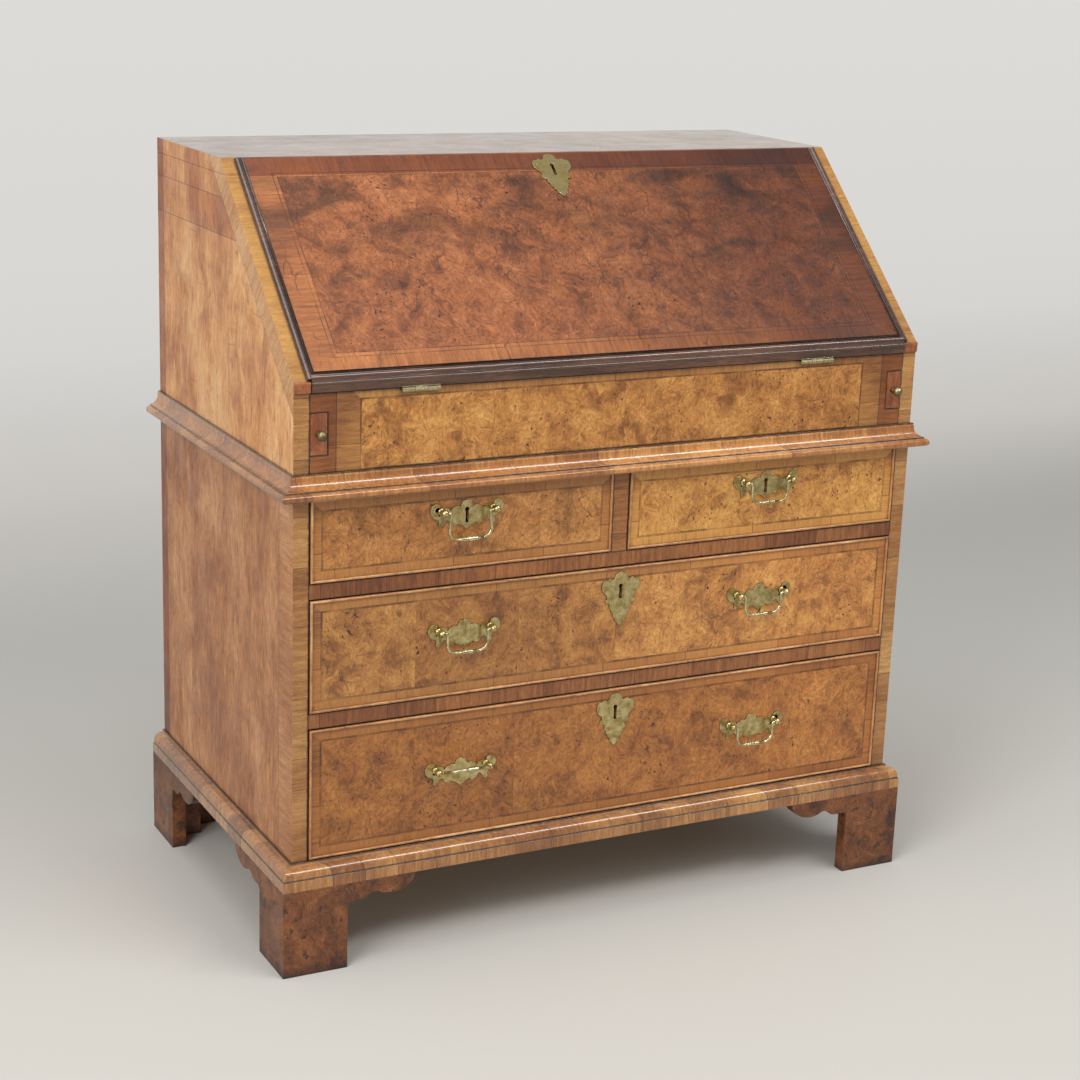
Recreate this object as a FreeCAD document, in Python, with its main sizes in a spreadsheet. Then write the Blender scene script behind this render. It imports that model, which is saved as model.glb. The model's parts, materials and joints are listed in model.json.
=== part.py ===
import FreeCAD, Part
import math
import operator
import os
from types import SimpleNamespace

from FreeCAD import Placement, Rotation, Vector

# A walnut writing bureau: a sloping-fall desk on a chest of drawers with four bracket feet.
# X runs to the right, Y to the back and Z up. Every place is worked out from the chest's front
# plane (y = 0), the middle of its width and the floor, and each node is then moved along Y so
# that the origin lies under the middle of the whole bureau.

# Driving dimensions, in millimetres and degrees.
SIZES = {
    # carcase
    "case_width": 920,
    "case_depth": 525,
    "desk_height": 369,
    "side_thickness": 22,
    "back_thickness": 10,
    "back_board_gap": 0.6,
    "foot_height": 118.5,
    "chest_bottom_thickness": 20,
    "bottom_opening": 178,
    "middle_opening": 150.5,
    "top_opening": 110,
    "rail_height": 20.5,
    "rail_depth": 62,
    "dust_board_thickness": 7,
    "runner_width": 30,
    "muntin_width": 24,
    "chest_top_thickness": 17.5,
    "desk_floor_thickness": 14,
    "fascia_height": 100,
    "fascia_thickness": 20,
    "slope_foot_rise": 15,
    "slope_run": 262.7,
    "desk_top_thickness": 20,
    "top_lip": 4,
    "top_rebate": 30,
    "top_rebate_run": 40,
    # mouldings
    "base_moulding_height": 33.5,
    "base_moulding_reach": 17.7,
    "waist_moulding_reach": 21,
    "return_reach": 3.2,
    "return_height": 14,
    # feet
    "foot_width": 89,
    "bracket_length": 187,
    "bracket_thickness": 20,
    "foot_block": 34,
    "foot_block_clearance": 2,
    "rear_bracket_top": 128,
    # lopers
    "slot_width": 23,
    "slot_bottom": 22,
    "slot_height": 53,
    "loper_gap": 0.4,
    "loper_length": 345,
    "loper_setback": 0.6,
    "guide_thickness": 12,
    "loper_knob_radius": 6.4,
    "loper_knob_neck": 2.8,
    "loper_knob_reach": 17,
    "loper_knob_shank": 14,
    # writing bed, well and its sliding cover
    "bed_rise": 4,
    "bed_thickness": 17,
    "well_half_width": 205,
    "well_front": 52,
    "well_length": 200,
    "cover_thickness": 7.5,
    "cover_drop": 6,
    "cover_tongue": 5.5,
    "cover_gap": 0.4,
    "cover_overlap": 18,
    "cover_scoop_radius": 13,
    "cover_scoop_depth": 3,
    # interior of the desk
    "interior_front": 285,
    "partition": 7,
    "interior_floor": 5,
    "small_opening": 52,
    "niche_width": 170,
    "valance_height": 46,
    "valance_thickness": 6,
    "valance_setback": 3,
    "small_front_thickness": 10,
    "small_side_thickness": 6,
    "small_back_gap": 15,
    "small_gap": 0.6,
    "small_knob_radius": 5.5,
    "small_knob_neck": 2.2,
    "small_knob_reach": 12,
    # fall
    "fall_thickness": 20,
    "field_proud": 3,
    "fall_side_gap": 0.6,
    "fall_end_gap": 0.5,
    "fall_bottom_gap": 1.2,
    "fall_face_proud": 4.5,
    "fall_cleat": 58,
    "bead_strip": 12,
    "bead_lip": 5,
    "bead_seat": 3,
    "bead_rise": 2.5,
    "small_bead": 3.4,
    "small_bead_rise": 1.7,
    "bead_quirk": 0.6,
    "bead_heel": 3.5,
    "lip_gap": 0.3,
    # hinges of the fall
    "hinge_centre": 293,
    "hinge_length": 52,
    "hinge_radius": 3.2,
    "hinge_reach": 3.6,
    "hinge_drop": 2.5,
    "hinge_leaf": 1.2,
    "hinge_leaf_depth": 16,
    "hinge_web": 0.9,
    "hinge_pin": 1.3,
    "hinge_pin_gap": 0.06,
    "hinge_joint_gap": 0.4,
    "fall_leaf_depth": 9,
    # lock of the fall
    "lock_width": 70,
    "lock_height": 52,
    "lock_depth": 12,
    "lock_plate": 1.6,
    "bolt_width": 24,
    "bolt_thickness": 5,
    "bolt_length": 26,
    "bolt_gap": 0.35,
    "mortise_depth": 11,
    "fall_key_drop": 29.8,
    # drawers
    "drawer_gap": 1.2,
    "drawer_seat_gap": 0.3,
    "drawer_side_gap": 2,
    "front_side_gap": 1,
    "front_thickness": 22,
    "front_lift": 1,
    "bead_width": 3.5,
    "bead_depth": 11,
    "bead_proud": 3,
    "drawer_side_thickness": 10,
    "drawer_side_drop": 7,
    "drawer_back_thickness": 10,
    "drawer_bottom_thickness": 7,
    "drawer_bottom_lift": 3,
    "drawer_back_gap": 37,
    "dovetail_length": 12,
    "dovetail_pitch": 40,
    "dovetail_spread": 3,
    "drawer_lock_width": 60,
    "drawer_lock_height": 55,
    "drawer_lock_depth": 9,
    # brasses
    "handle_offset": 224.7,
    "post_spacing": 73,
    "short_post_height": 78,
    "middle_post_height": 89.5,
    "bottom_post_height": 97.5,
    "plate_half_width": 51.5,
    "plate_drop": 26.2,
    "plate_thickness": 1.6,
    "plate_key_drop": 6.8,
    "post_reach": 13.5,
    "post_shank": 2.4,
    "post_head": 4.9,
    "nut_size": 10,
    "nut_thickness": 3,
    "bail_half_width": 28.5,
    "bail_drop": 27.5,
    "bail_radius": 1.9,
    "bail_corner": 10,
    "bail_elbow": 2.4,
    "bail_knop": 3.6,
    "bail_knop_length": 15,
    "bail_pivot_gap": 0.2,
    "bail_pivot_inset": 1.3,
    "bail_end_gap": 0.4,
    "large_bail_top": 27,
    "large_bail_low": 30.5,
    "large_bail_drop": 35.5,
    "large_bail_swell": 3.2,
    "large_bail_swell_length": 34,
    "raised_bail_angle": 112,
    "escutcheon_offset": 5,
    "escutcheon_half_width": 28.8,
    "escutcheon_drop": 48,
    "middle_key_height": 115.4,
    "bottom_key_height": 142.9,
    "key_length": 20.5,
    "key_head": 3.1,
    "key_slot": 2.1,
    "pin_radius": 1.3,
    "pin_head": 0.7,
    "pin_shank": 0.6,
    "pin_length": 7,
    # how far a cutting tool runs past what it cuts
    "overrun": 5,
}

# Outlines, as shares of the width and the height of what they belong to. A pair of points is an
# arc: one that it passes through and one where it ends.
BASE_MOULDING_SHARES = [
    (0, 0), (1, 0), (1, 0.42), (0.9, 0.44), (0.93, 0.48),
    ((0.73, 0.79), (0.24, 0.9)), (0.18, 0.9), (0.18, 1), (0, 1),
]
WAIST_MOULDING_SHARES = [
    (0, 0), (0.76, 0), ((1, 0.17), (0.76, 0.34)), (0.72, 0.34), (0.72, 0.4),
    ((0.34, 0.54), (0.2, 0.9)), (0.16, 0.9), (0.16, 1), (0, 1),
]
RETURN_SHARES = [(0, 0), (0.8, 0), (0.8, 0.6), ((1, 0.78), (0.8, 0.95)), (0, 1)]
BRACKET_SHARES = [
    (0, 0), (0.476, 0), (0.476, 0.727), ((0.484, 0.768), (0.524, 0.785)), (0.611, 0.785),
    ((0.67, 0.853), (0.735, 0.822)), ((0.845, 0.805), (0.935, 0.868)), ((0.968, 0.92), (0.98, 1)), (0, 1),
]
VALANCE_SHARES = [
    (0, 0), ((0.1, 0.05), (0.16, 0.28)), ((0.3, 0.34), (0.36, 0.62)), ((0.5, 0.8), (0.64, 0.62)),
    ((0.7, 0.34), (0.84, 0.28)), ((0.9, 0.05), (1, 0)), (1, 1), (0, 1),
]
ARCH_SHARES = [(0, 0), (0.06, 0), ((0.5, 0.86), (0.94, 0)), (1, 0), (1, 1), (0, 1)]
# From the foot of the fall's slope: how far it stands proud and how far it hangs down.
NOSE_SHARES = [(-1, -1), (-1, -0.32), ((-1.24, -0.15), (-0.71, -0.03))]
# Half sections of turned pieces: radius, then reach. A knob and a pin's head are counted from the
# face that they stand on, the ball of a post from its middle, as shares of its radius.
KNOB_SHARES = [
    (0.62, 0), (0.62, 0.12), (0.42, 0.22), (0.42, 0.34), (0.88, 0.5), (1, 0.64), (0.86, 0.84),
    (0.34, 1), (0, 1),
]
POST_SHARES = [(0.88, 0), (0.88, 0.1), (0.55, 0.2)]
BALL_SHARES = [(0.55, -0.84), (0.87, -0.5), (1, 0), (0.87, 0.5), (0.45, 0.89), (0.36, 1.28), (0, 1.28)]
KNOP_SHARES = [
    (0, -0.5), (0.64, -0.5), (0.8, -0.43), (0.64, -0.38), (1, -0.22), (0.66, -0.07), (0.66, 0.07),
    (1, 0.22), (0.64, 0.38), (0.8, 0.43), (0.64, 0.5), (0, 0.5),
]
SWELL_SHARES = [(0, -0.5), (0.6, -0.5), (0.87, -0.25), (1, 0), (0.87, 0.25), (0.6, 0.5), (0, 0.5)]
# Right half of a handle's plate, from the middle of its top edge down to its tip.
PLATE_SHARES = [
    (0, 0.5), ((0.12, 0.44), (0.165, 0.23)), ((0.18, 0.175), (0.2, 0.18)), ((0.3, 0.215), (0.39, 0.13)),
    (0.46, -0.02), ((0.5, 0.13), (0.56, 0.155)), ((0.63, 0.21), (0.71, 0.16)), ((0.75, 0.36), (0.84, 0.415)),
    ((0.95, 0.33), (1, 0.1)), ((0.985, -0.13), (0.92, -0.27)), ((0.85, -0.37), (0.775, -0.41)),
    (0.755, -0.56), ((0.77, -0.72), (0.715, -0.81)), ((0.655, -0.75), (0.61, -0.62)),
    ((0.575, -0.5), (0.54, -0.46)), ((0.5, -0.5), (0.47, -0.58)), ((0.44, -0.7), (0.385, -0.735)),
    ((0.345, -0.79), (0.31, -0.77)), ((0.275, -0.7), (0.24, -0.67)), ((0.2, -0.73), (0.155, -0.745)),
    ((0.09, -0.83), (0, -1)),
]
# Right half of an escutcheon, from the middle of its top edge down to its tip.
ESCUTCHEON_SHARES = [
    (0, 0.5625), ((0.24, 0.52), (0.36, 0.38)), ((0.43, 0.34), (0.52, 0.365)), ((0.62, 0.4), (0.7, 0.345)),
    ((0.92, 0.32), (1, 0.195)), ((0.985, 0.07), (0.88, -0.02)), ((0.72, -0.1), (0.69, -0.21)),
    ((0.77, -0.215), (0.79, -0.275)), ((0.73, -0.335), (0.64, -0.335)), ((0.53, -0.37), (0.56, -0.44)),
    ((0.55, -0.5), (0.47, -0.53)), (0.47, -0.6), ((0.44, -0.64), (0.37, -0.65)), (0.37, -0.73),
    ((0.33, -0.765), (0.26, -0.77)), (0.26, -0.84), ((0.21, -0.88), (0.15, -0.88)), ((0.1, -0.95), (0, -1)),
]
PIN_SHARES = [(-0.8, 0.17), (0.8, 0.17), (0, -0.72)]
PIN_HEAD_SHARES = [(1, 0), (0.8, 0.7), (0.35, 1), (0, 1)]
# Where a dovetail begins and ends on its share of a drawer side.
TAIL_SHARES = (0.32, 0.68)

# Sides of a turning or a rod, and how near a flat side comes to the middle, with a corner at 1.
FACETS = 8
FLAT = math.cos(math.pi / FACETS)
# How many straight lines stand for each arc of an outline.
PLATE_LINES = 2
BAIL_LINES = 2
VALANCE_LINES = 3
BRACKET_LINES = 4
BEAD_LINES = 6
ARCH_LINES = 8

PIGEONHOLES = 3
BACK_BOARDS = 4
# The corners of a keyhole's round head, in degrees from its right side.
KEY_HEAD_TURNS = range(-30, 240, 40)

document = FreeCAD.newDocument("writing_bureau")
sheet = document.addObject("Spreadsheet::Sheet", "Sizes")
for row, (alias, value) in enumerate(SIZES.items(), 1):
    sheet.set(f"A{row}", alias)
    sheet.set(f"B{row}", str(value))
    sheet.setAlias(f"B{row}", alias)
document.recompute()

OPERATIONS = {"+": operator.add, "-": operator.sub, "*": operator.mul, "/": operator.truediv}


class Size:
    """A length or an angle that keeps the formula by which it follows the sheet."""

    def __init__(self, value, formula):
        self.value = float(value)
        self.formula = formula

    def __float__(self):
        return self.value

    def __add__(self, other):
        return joined(self, "+", other)

    def __radd__(self, other):
        return joined(other, "+", self)

    def __sub__(self, other):
        return joined(self, "-", other)

    def __rsub__(self, other):
        return joined(other, "-", self)

    def __mul__(self, other):
        return joined(self, "*", other)

    def __rmul__(self, other):
        return joined(other, "*", self)

    def __truediv__(self, other):
        return joined(self, "/", other)

    def __neg__(self):
        return joined(0, "-", self)


def as_size(number):
    if isinstance(number, Size):
        return number
    return Size(number, f"({float(number)!r})")


def joined(left, sign, right):
    left = as_size(left)
    right = as_size(right)
    value = OPERATIONS[sign](left.value, right.value)
    return Size(value, f"({left.formula} {sign} {right.formula})")


s = SimpleNamespace(**{alias: Size(sheet.get(alias), f"Sizes.{alias}") for alias in SIZES})

SIDES = (("left", -1), ("right", 1))
nodes = []

# Levels and planes that several pieces share.
half = s.case_width / 2
inner = half - s.side_thickness
back_face = s.case_depth - s.back_thickness
base_top = s.foot_height + s.base_moulding_height
rail_1_low = base_top + s.bottom_opening
rail_1_top = rail_1_low + s.rail_height
rail_2_low = rail_1_top + s.middle_opening
rail_2_top = rail_2_low + s.rail_height
chest_ceiling = rail_2_top + s.top_opening
chest_top = chest_ceiling + s.chest_top_thickness
desk_floor_top = chest_top + s.desk_floor_thickness
fascia_top = desk_floor_top + s.fascia_height
slope_foot = fascia_top + s.slope_foot_rise
desk_top = chest_top + s.desk_height
desk_ceiling = desk_top - s.desk_top_thickness
bed_top = fascia_top + s.bed_rise
bed_low = bed_top - s.bed_thickness
slot_low = desk_floor_top + s.slot_bottom
slot_top = slot_low + s.slot_height

# The slope runs up and back from the front plane. It has two directions of its own: along it and
# out of it.
slope_rise = desk_top - slope_foot
slope_angle = math.atan2(slope_rise.value, s.slope_run.value)
slope_length = math.hypot(slope_rise.value, s.slope_run.value)
slope_turn = Rotation(Vector(1, 0, 0), math.degrees(slope_angle))
fall_low = fascia_top + s.fall_bottom_gap
fall_edge = inner - s.fall_side_gap
fall_end = slope_length - s.top_lip - s.fall_end_gap
fall_inside = s.field_proud - s.fall_thickness
strip_start = inner + s.bead_lip - s.bead_strip
strip_end = inner + s.bead_lip

# What is drawn lying on its back is stood up against a front.
front_turn = Rotation(Vector(1, 0, 0), math.degrees(math.pi / 2))

# The foremost thing is the knop of the one bail that stands raised.
raised_turn = Rotation(Vector(1, 0, 0), -float(s.raised_bail_angle))
raised_drop = s.bail_drop * math.sin(math.radians(float(s.raised_bail_angle)))
raised_reach = s.post_reach + raised_drop + s.bail_knop / FLAT
origin_shift = (raised_reach - s.case_depth) / 2


def on_slope(along, out):
    """The (y, z) of a place given in the slope's own two directions."""
    along = float(along)
    out = float(out)
    y = along * math.cos(slope_angle) - out * math.sin(slope_angle)
    z = slope_foot.value + along * math.sin(slope_angle) + out * math.cos(slope_angle)
    return y, z


def slope_y(height, out):
    """The y, at a height, of the plane that lies this far out of the slope."""
    rise = float(height) - slope_foot.value
    return (rise * math.cos(slope_angle) - float(out)) / math.sin(slope_angle)


def span(sign, near, far):
    """The range between two distances from the middle, on one side of it."""
    return (near, far) if sign > 0 else (-far, -near)


# Outlines: closed runs of steps. A step is a point to draw a line to, or a pair of points for an
# arc.

def is_bend(step):
    return isinstance(step[0], tuple)


def end_of(step):
    return step[1] if is_bend(step) else step


def mapped(steps, place):
    return [(place(step[0]), place(step[1])) if is_bend(step) else place(step) for step in steps]


def scaled(shares, width, height, corner=(0, 0)):
    """An outline from shares of a width and a height, from a corner."""
    def place(share):
        return share[0] * float(width) + float(corner[0]), share[1] * float(height) + float(corner[1])

    return mapped(shares, place)


def moved(steps, first, second=0):
    return mapped(steps, lambda point: (float(point[0]) + float(first), float(point[1]) + float(second)))


def turned_over(steps):
    """The outline with its first coordinate counted the other way."""
    return mapped(steps, lambda point: (-float(point[0]), point[1]))


def backwards(steps):
    """The same run of steps from its end to its start."""
    points = [end_of(step) for step in steps]
    result = [points[-1]]
    for index in range(len(steps) - 1, 0, -1):
        step = steps[index]
        result.append((step[0], points[index - 1]) if is_bend(step) else points[index - 1])
    return result


def both_halves(steps):
    """Closes an outline that is drawn down its right half, by turning that half over."""
    return steps + backwards(turned_over(steps))[1:]


def faceted(steps, lines):
    """The same run, from a point on, with each arc drawn as this many straight lines."""
    points = steps[:1]
    for step in steps[1:]:
        if is_bend(step):
            arc = Part.Arc(*map(vector, (points[-1], *step)))
            points += [(point.x, point.y) for point in arc.discretize(lines + 1)[1:]]
        else:
            points.append(step)
    return points


def in_circle(centre, radius):
    """A regular outline whose corners lie on a circle."""
    turns = [math.tau * (index + 0.5) / FACETS for index in range(FACETS)]
    across, up = map(float, centre)
    reach = float(radius)
    return [(across + reach * math.cos(turn), up + reach * math.sin(turn)) for turn in turns]


def about_circle(centre, radius):
    """A regular outline whose flat sides touch a circle."""
    return in_circle(centre, radius / FLAT)


def rounded(points, radii):
    """An open run through points, with each corner between them rounded."""
    steps = [points[0]]
    for before, corner, after, radius in zip(points, points[1:], points[2:], radii):
        here = Vector(*map(float, corner), 0)
        arms = [(Vector(*map(float, point), 0) - here).normalize() for point in (before, after)]
        opening = arms[0].getAngle(arms[1]) / 2
        start, end = (here + arm * (float(radius) / math.tan(opening)) for arm in arms)
        inward = (arms[0] + arms[1]).normalize()
        middle = here + inward * (float(radius) / math.sin(opening) - float(radius))
        steps.append((start.x, start.y))
        steps.append(((middle.x, middle.y), (end.x, end.y)))
    return steps + [points[-1]]


def edges_of(steps, closed=True):
    edges = []
    here = vector(end_of(steps[0]))
    for step in steps[1:] + (steps[:1] if closed else []):
        there = vector(end_of(step))
        if is_bend(step):
            edges.append(Part.Arc(here, vector(step[0]), there))
        elif there != here:
            edges.append(Part.LineSegment(here, there))
        here = there
    return edges


def vector(point):
    return Vector(float(point[0]), float(point[1]), 0)


# Solids.

def board(name, x, y, z):
    """A plain board between two planes along each axis."""
    box = document.addObject("Part::Box", name)
    for side, axis, (low, high) in (("Length", "x", x), ("Width", "y", y), ("Height", "z", z)):
        box.setExpression(side, as_size(high - low).formula)
        box.setExpression(f"Placement.Base.{axis}", as_size(low).formula)
    return box


def slope_board(name, x, along, out):
    """A plain board that lies in the slope's own directions."""
    box = document.addObject("Part::Box", name)
    for side, (low, high) in (("Length", x), ("Width", along), ("Height", out)):
        box.setExpression(side, as_size(high - low).formula)
    box.Placement = Placement(Vector(float(x[0]), *on_slope(along[0], out[0])), slope_turn)
    return box


def cylinder(name, radius, start, axis, length):
    """A round bar from a point along an axis."""
    bar = document.addObject("Part::Cylinder", name)
    bar.setExpression("Radius", as_size(radius).formula)
    bar.setExpression("Height", as_size(length).formula)
    bar.Placement = Placement(Vector(*map(float, start)), Rotation(Vector(0, 0, 1), Vector(*axis)))
    return bar


def sketch_on(body, role, outlines, offset=0):
    """A sketch on one of the body's own planes, moved along that plane's normal."""
    plane = next(feature for feature in body.Origin.OriginFeatures if feature.Role == role)
    sketch = body.newObject("Sketcher::SketchObject", body.Name + "_outline")
    sketch.AttachmentSupport = [(plane, "")]
    sketch.MapMode = "FlatFace"
    sketch.setExpression("AttachmentOffset.Base.z", as_size(offset).formula)
    for steps in outlines:
        sketch.addGeometry(edges_of(steps), False)
    return sketch


def profile(name, axis, outlines, low, high):
    """A body padded from low to high along an axis, its outline in the other two coordinates."""
    body = document.addObject("PartDesign::Body", name)
    role = {"x": "YZ_Plane", "y": "XZ_Plane", "z": "XY_Plane"}[axis]
    offset = -as_size(high) if axis == "y" else low
    sketch = sketch_on(body, role, outlines, offset)
    pad = body.newObject("PartDesign::Pad", name + "_pad")
    pad.Profile = sketch
    pad.setExpression("Length", as_size(high - low).formula)
    return body


def turned(name, steps):
    """A small turning about Z, from its half section: radius, then height.

    It has flat sides, which touch the round form. Its section starts and ends on the axis.
    """
    rings = []
    for radius, height in steps[1:-1]:
        rings.append([Vector(*point, float(height)) for point in about_circle((0, 0), radius)])
    corners = [rings[0][::-1], rings[-1]]
    for low, high in zip(rings, rings[1:]):
        for index in range(FACETS):
            corners.append([low[index - 1], low[index], high[index], high[index - 1]])
    faces = [Part.Face(Part.makePolygon(face + face[:1])) for face in corners]
    piece = document.addObject("Part::Feature", name)
    piece.Shape = Part.Solid(Part.Shell(faces))
    return piece


def against_front(piece, x, y, z):
    """Stands a piece that was drawn lying on its back against an upright front."""
    piece.Placement = Placement(Vector(0, 0, 0), front_turn)
    for axis, place in zip("xyz", (x, y, z)):
        piece.setExpression(f"Placement.Base.{axis}", as_size(place).formula)
    return piece


def against_slope(piece, x=0, along=0, out=0):
    """Lays a piece that was drawn lying on its back on the slope."""
    piece.Placement = Placement(Vector(float(x), *on_slope(along, out)), slope_turn)
    return piece


def group(name, pieces):
    compound = document.addObject("Part::Compound", name)
    compound.Links = list(pieces)
    return compound


def cut(name, base, *tools):
    result = document.addObject("Part::Cut", name)
    result.Base = base
    result.Tool = tools[0] if len(tools) == 1 else group(name + "_tools", tools)
    return result


def common(name, first, second):
    result = document.addObject("Part::Common", name)
    result.Base = first
    result.Tool = second
    return result


def fused(name, *pieces):
    result = document.addObject("Part::MultiFuse", name)
    result.Shapes = list(pieces)
    result.Refine = True
    return result


def node(label, *solids):
    """A named sub-part, moved from the front plane to the bureau's own origin."""
    compound = group(label + "_node", solids)
    compound.Label = label
    compound.setExpression("Placement.Base.y", origin_shift.formula)
    nodes.append(compound)


# Chest carcase.

def chest():
    bottom = base_top - s.chest_bottom_thickness
    for side, sign in SIDES:
        x = span(sign, inner, half)
        z = (s.foot_height, chest_top)
        node(f"chest_side_{side}", board(f"side_board_{side}", x, (0, s.case_depth), z))
    node("chest_bottom", board("chest_floor", (-inner, inner), (0, back_face), (bottom, base_top)))
    node("chest_top_board", board("chest_roof", (-inner, inner), (0, back_face), (chest_ceiling, chest_top)))
    node("chest_backboards", *back_boards("chest_back", (bottom, chest_top)))

    dividers = []
    runners = []
    y = (s.rail_depth, back_face)
    edge = inner - s.runner_width
    for index, low in enumerate((rail_1_low, rail_2_low), 1):
        rail = (low, low + s.rail_height)
        middle = low + s.rail_height / 2
        dust = (middle - s.dust_board_thickness / 2, middle + s.dust_board_thickness / 2)
        dividers.append(board(f"rail_{index}", (-inner, inner), (0, s.rail_depth), rail))
        dividers.append(board(f"dust_board_{index}", (-edge, edge), y, dust))
        for side, sign in SIDES:
            runners.append(board(f"runner_{index}_{side}", span(sign, edge, inner), y, rail))
    runners.append(board("middle_runner", (-s.runner_width, s.runner_width), y, (dust[1], rail[1])))
    node("drawer_dividers", *dividers)
    node("drawer_runners", *runners)

    x = (-s.muntin_width / 2, s.muntin_width / 2)
    post = board("muntin_post", x, (0, s.rail_depth), (rail_2_top, chest_ceiling))
    guide = board("muntin_guide", x, y, (rail_2_top, rail_2_top + s.rail_height))
    node("drawer_muntin", post, guide)


def back_boards(name, z):
    """Upright boards side by side between the carcase sides."""
    width = inner * 2 / BACK_BOARDS
    boards = []
    for index in range(BACK_BOARDS):
        low = width * index - inner
        x = (low + s.back_board_gap / 2, low + width - s.back_board_gap / 2)
        boards.append(board(f"{name}_{index + 1}", x, (back_face, s.case_depth), z))
    return boards


def moulding(name, shares, reach, low, height):
    """A moulding round the front and both sides, mitred at the two front corners."""
    over = s.overrun
    z = (low - over, low + height + over)
    section = turned_over(faceted(scaled(shares, reach, height, (0, low)), BEAD_LINES))
    run = profile(f"{name}_front_run", "x", [section], -half - reach, half + reach)
    far = half + reach + over
    near = half - over
    plan = [(-far, -reach - over), (far, -reach - over), (near, over), (-near, over)]
    pieces = [common(f"{name}_front", run, profile(f"{name}_front_plan", "z", [plan], *z))]
    for side, sign in SIDES:
        section = faceted(scaled(shares, reach, height, (half, low)), BEAD_LINES)
        plan = [(far, -reach - over), (far, s.case_depth), (near, s.case_depth), (near, over)]
        if sign < 0:
            section = turned_over(section)
            plan = turned_over(plan)
        run = profile(f"{name}_{side}_run", "y", [section], -reach, s.case_depth)
        pieces.append(common(f"{name}_{side}", run, profile(f"{name}_{side}_plan", "z", [plan], *z)))
    node(name, *pieces)


def feet():
    over = s.overrun
    reach = s.base_moulding_reach
    outer = half + reach
    thick = s.bracket_thickness
    heel = outer - thick
    far = outer - s.bracket_length - over
    upright = (-over, s.foot_height + over)
    outline = faceted(scaled(BRACKET_SHARES, s.bracket_length, s.foot_height), BRACKET_LINES)
    for side, sign in SIDES:
        flank_x = span(sign, heel, outer)
        corner = (outer + over, -reach - over)
        mitre = (heel, thick - reach)
        face_plan = [corner, mitre, (far, thick - reach), (far, -reach - over)]
        flank_plan = [corner, mitre, (heel, s.case_depth), (outer + over, s.case_depth)]
        face = turned_over(moved(outline, -outer))
        back = [
            (heel, 0), (outer - s.foot_width, 0), (outer - s.rear_bracket_top, s.foot_height),
            (heel, s.foot_height),
        ]
        if sign < 0:
            face = turned_over(face)
            back = turned_over(back)
            face_plan = turned_over(face_plan)
            flank_plan = turned_over(flank_plan)
        face = profile(f"foot_{side}_face_run", "y", [face], -reach, thick - reach)
        face_plan = profile(f"foot_{side}_face_plan", "z", [face_plan], *upright)
        flank = profile(f"foot_{side}_flank_run", "x", [moved(outline, -reach)], *flank_x)
        flank_plan = profile(f"foot_{side}_flank_plan", "z", [flank_plan], *upright)
        block_x = span(sign, heel - s.foot_block, heel)
        block_z = (s.foot_block_clearance, s.foot_height)
        block = board(f"foot_{side}_block", block_x, (thick - reach, thick - reach + s.foot_block), block_z)
        face = common(f"foot_{side}_face", face, face_plan)
        node(f"foot_front_{side}", face, common(f"foot_{side}_flank", flank, flank_plan), block)

        rear = turned_over(moved(outline, -s.case_depth))
        rear = profile(f"rear_foot_{side}_flank", "x", [rear], *flank_x)
        back = profile(f"rear_foot_{side}_back", "y", [back], s.case_depth - thick, s.case_depth)
        block_y = (s.case_depth - thick - s.foot_block, s.case_depth - thick)
        node(f"foot_rear_{side}", rear, back, board(f"rear_foot_{side}_block", block_x, block_y, block_z))


# Desk carcase.

def desk():
    outline = [
        (0, chest_top), (s.case_depth, chest_top), (s.case_depth, desk_ceiling),
        (slope_y(desk_ceiling, 0), desk_ceiling), (0, slope_foot),
    ]
    returns = []
    for side, sign in SIDES:
        x = span(sign, inner, half)
        node(f"desk_side_{side}", profile(f"desk_side_{side}_panel", "x", [outline], *x))
        low = slope_foot - s.return_height
        section = scaled(RETURN_SHARES, s.return_reach, s.return_height, (0, low))
        section = turned_over(faceted(section, BEAD_LINES))
        returns.append(profile(f"return_{side}", "x", [section], *x))
    node("arris_mouldings", *returns)

    outline = [
        (slope_y(desk_ceiling, 0), desk_ceiling), (s.case_depth, desk_ceiling),
        (s.case_depth, desk_top), (s.slope_run, desk_top),
    ]
    top = profile("desk_top_board", "x", [outline], -half, half)
    end = slope_length - s.top_lip
    rebate = (end - s.top_rebate_run, end)
    rebate = slope_board("desk_top_rebate", (-inner, inner), rebate, (-s.top_rebate, s.overrun))
    mortise = slope_board("bolt_mortise", *bolt_hole((end - s.overrun, end + s.mortise_depth)))
    node("desk_top", cut("desk_top_shaped", top, rebate, mortise))
    node("desk_backboards", *back_boards("desk_back", (chest_top, desk_ceiling)))
    z = (chest_top, desk_floor_top)
    node("desk_floor", board("desk_floor_board", (-inner, inner), (0, back_face), z))


def fascia():
    tools = []
    for side, sign in SIDES:
        x = span(sign, inner - s.slot_width, inner + s.overrun)
        y = (-s.overrun, s.fascia_thickness + s.overrun)
        tools.append(board(f"loper_slot_{side}", x, y, (slot_low, slot_top)))
        leaf_y = (-s.overrun, s.hinge_leaf_depth)
        leaf_z = (fascia_top - s.hinge_leaf, fascia_top + s.overrun)
        tools.append(board(f"case_leaf_recess_{side}", hinge_x(sign), leaf_y, leaf_z))
    plain = board("fascia_board", (-inner, inner), (0, s.fascia_thickness), (desk_floor_top, fascia_top))
    node("front_fascia", cut("fascia_shaped", plain, *tools))


def knob(name, radius, neck, reach, shank):
    """A turned knob with a shank that goes back into what it is fixed to."""
    return turned(name, [(0, -shank), (neck, -shank), (neck, 0)] + scaled(KNOB_SHARES, radius, reach))


def knob_bore(name, neck, centre, depth):
    """The hole for a knob's shank, from the middle of the face that it stands on."""
    x, y, z = centre
    return profile(name, "y", [about_circle((x, z), neck)], y, y + depth)


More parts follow.
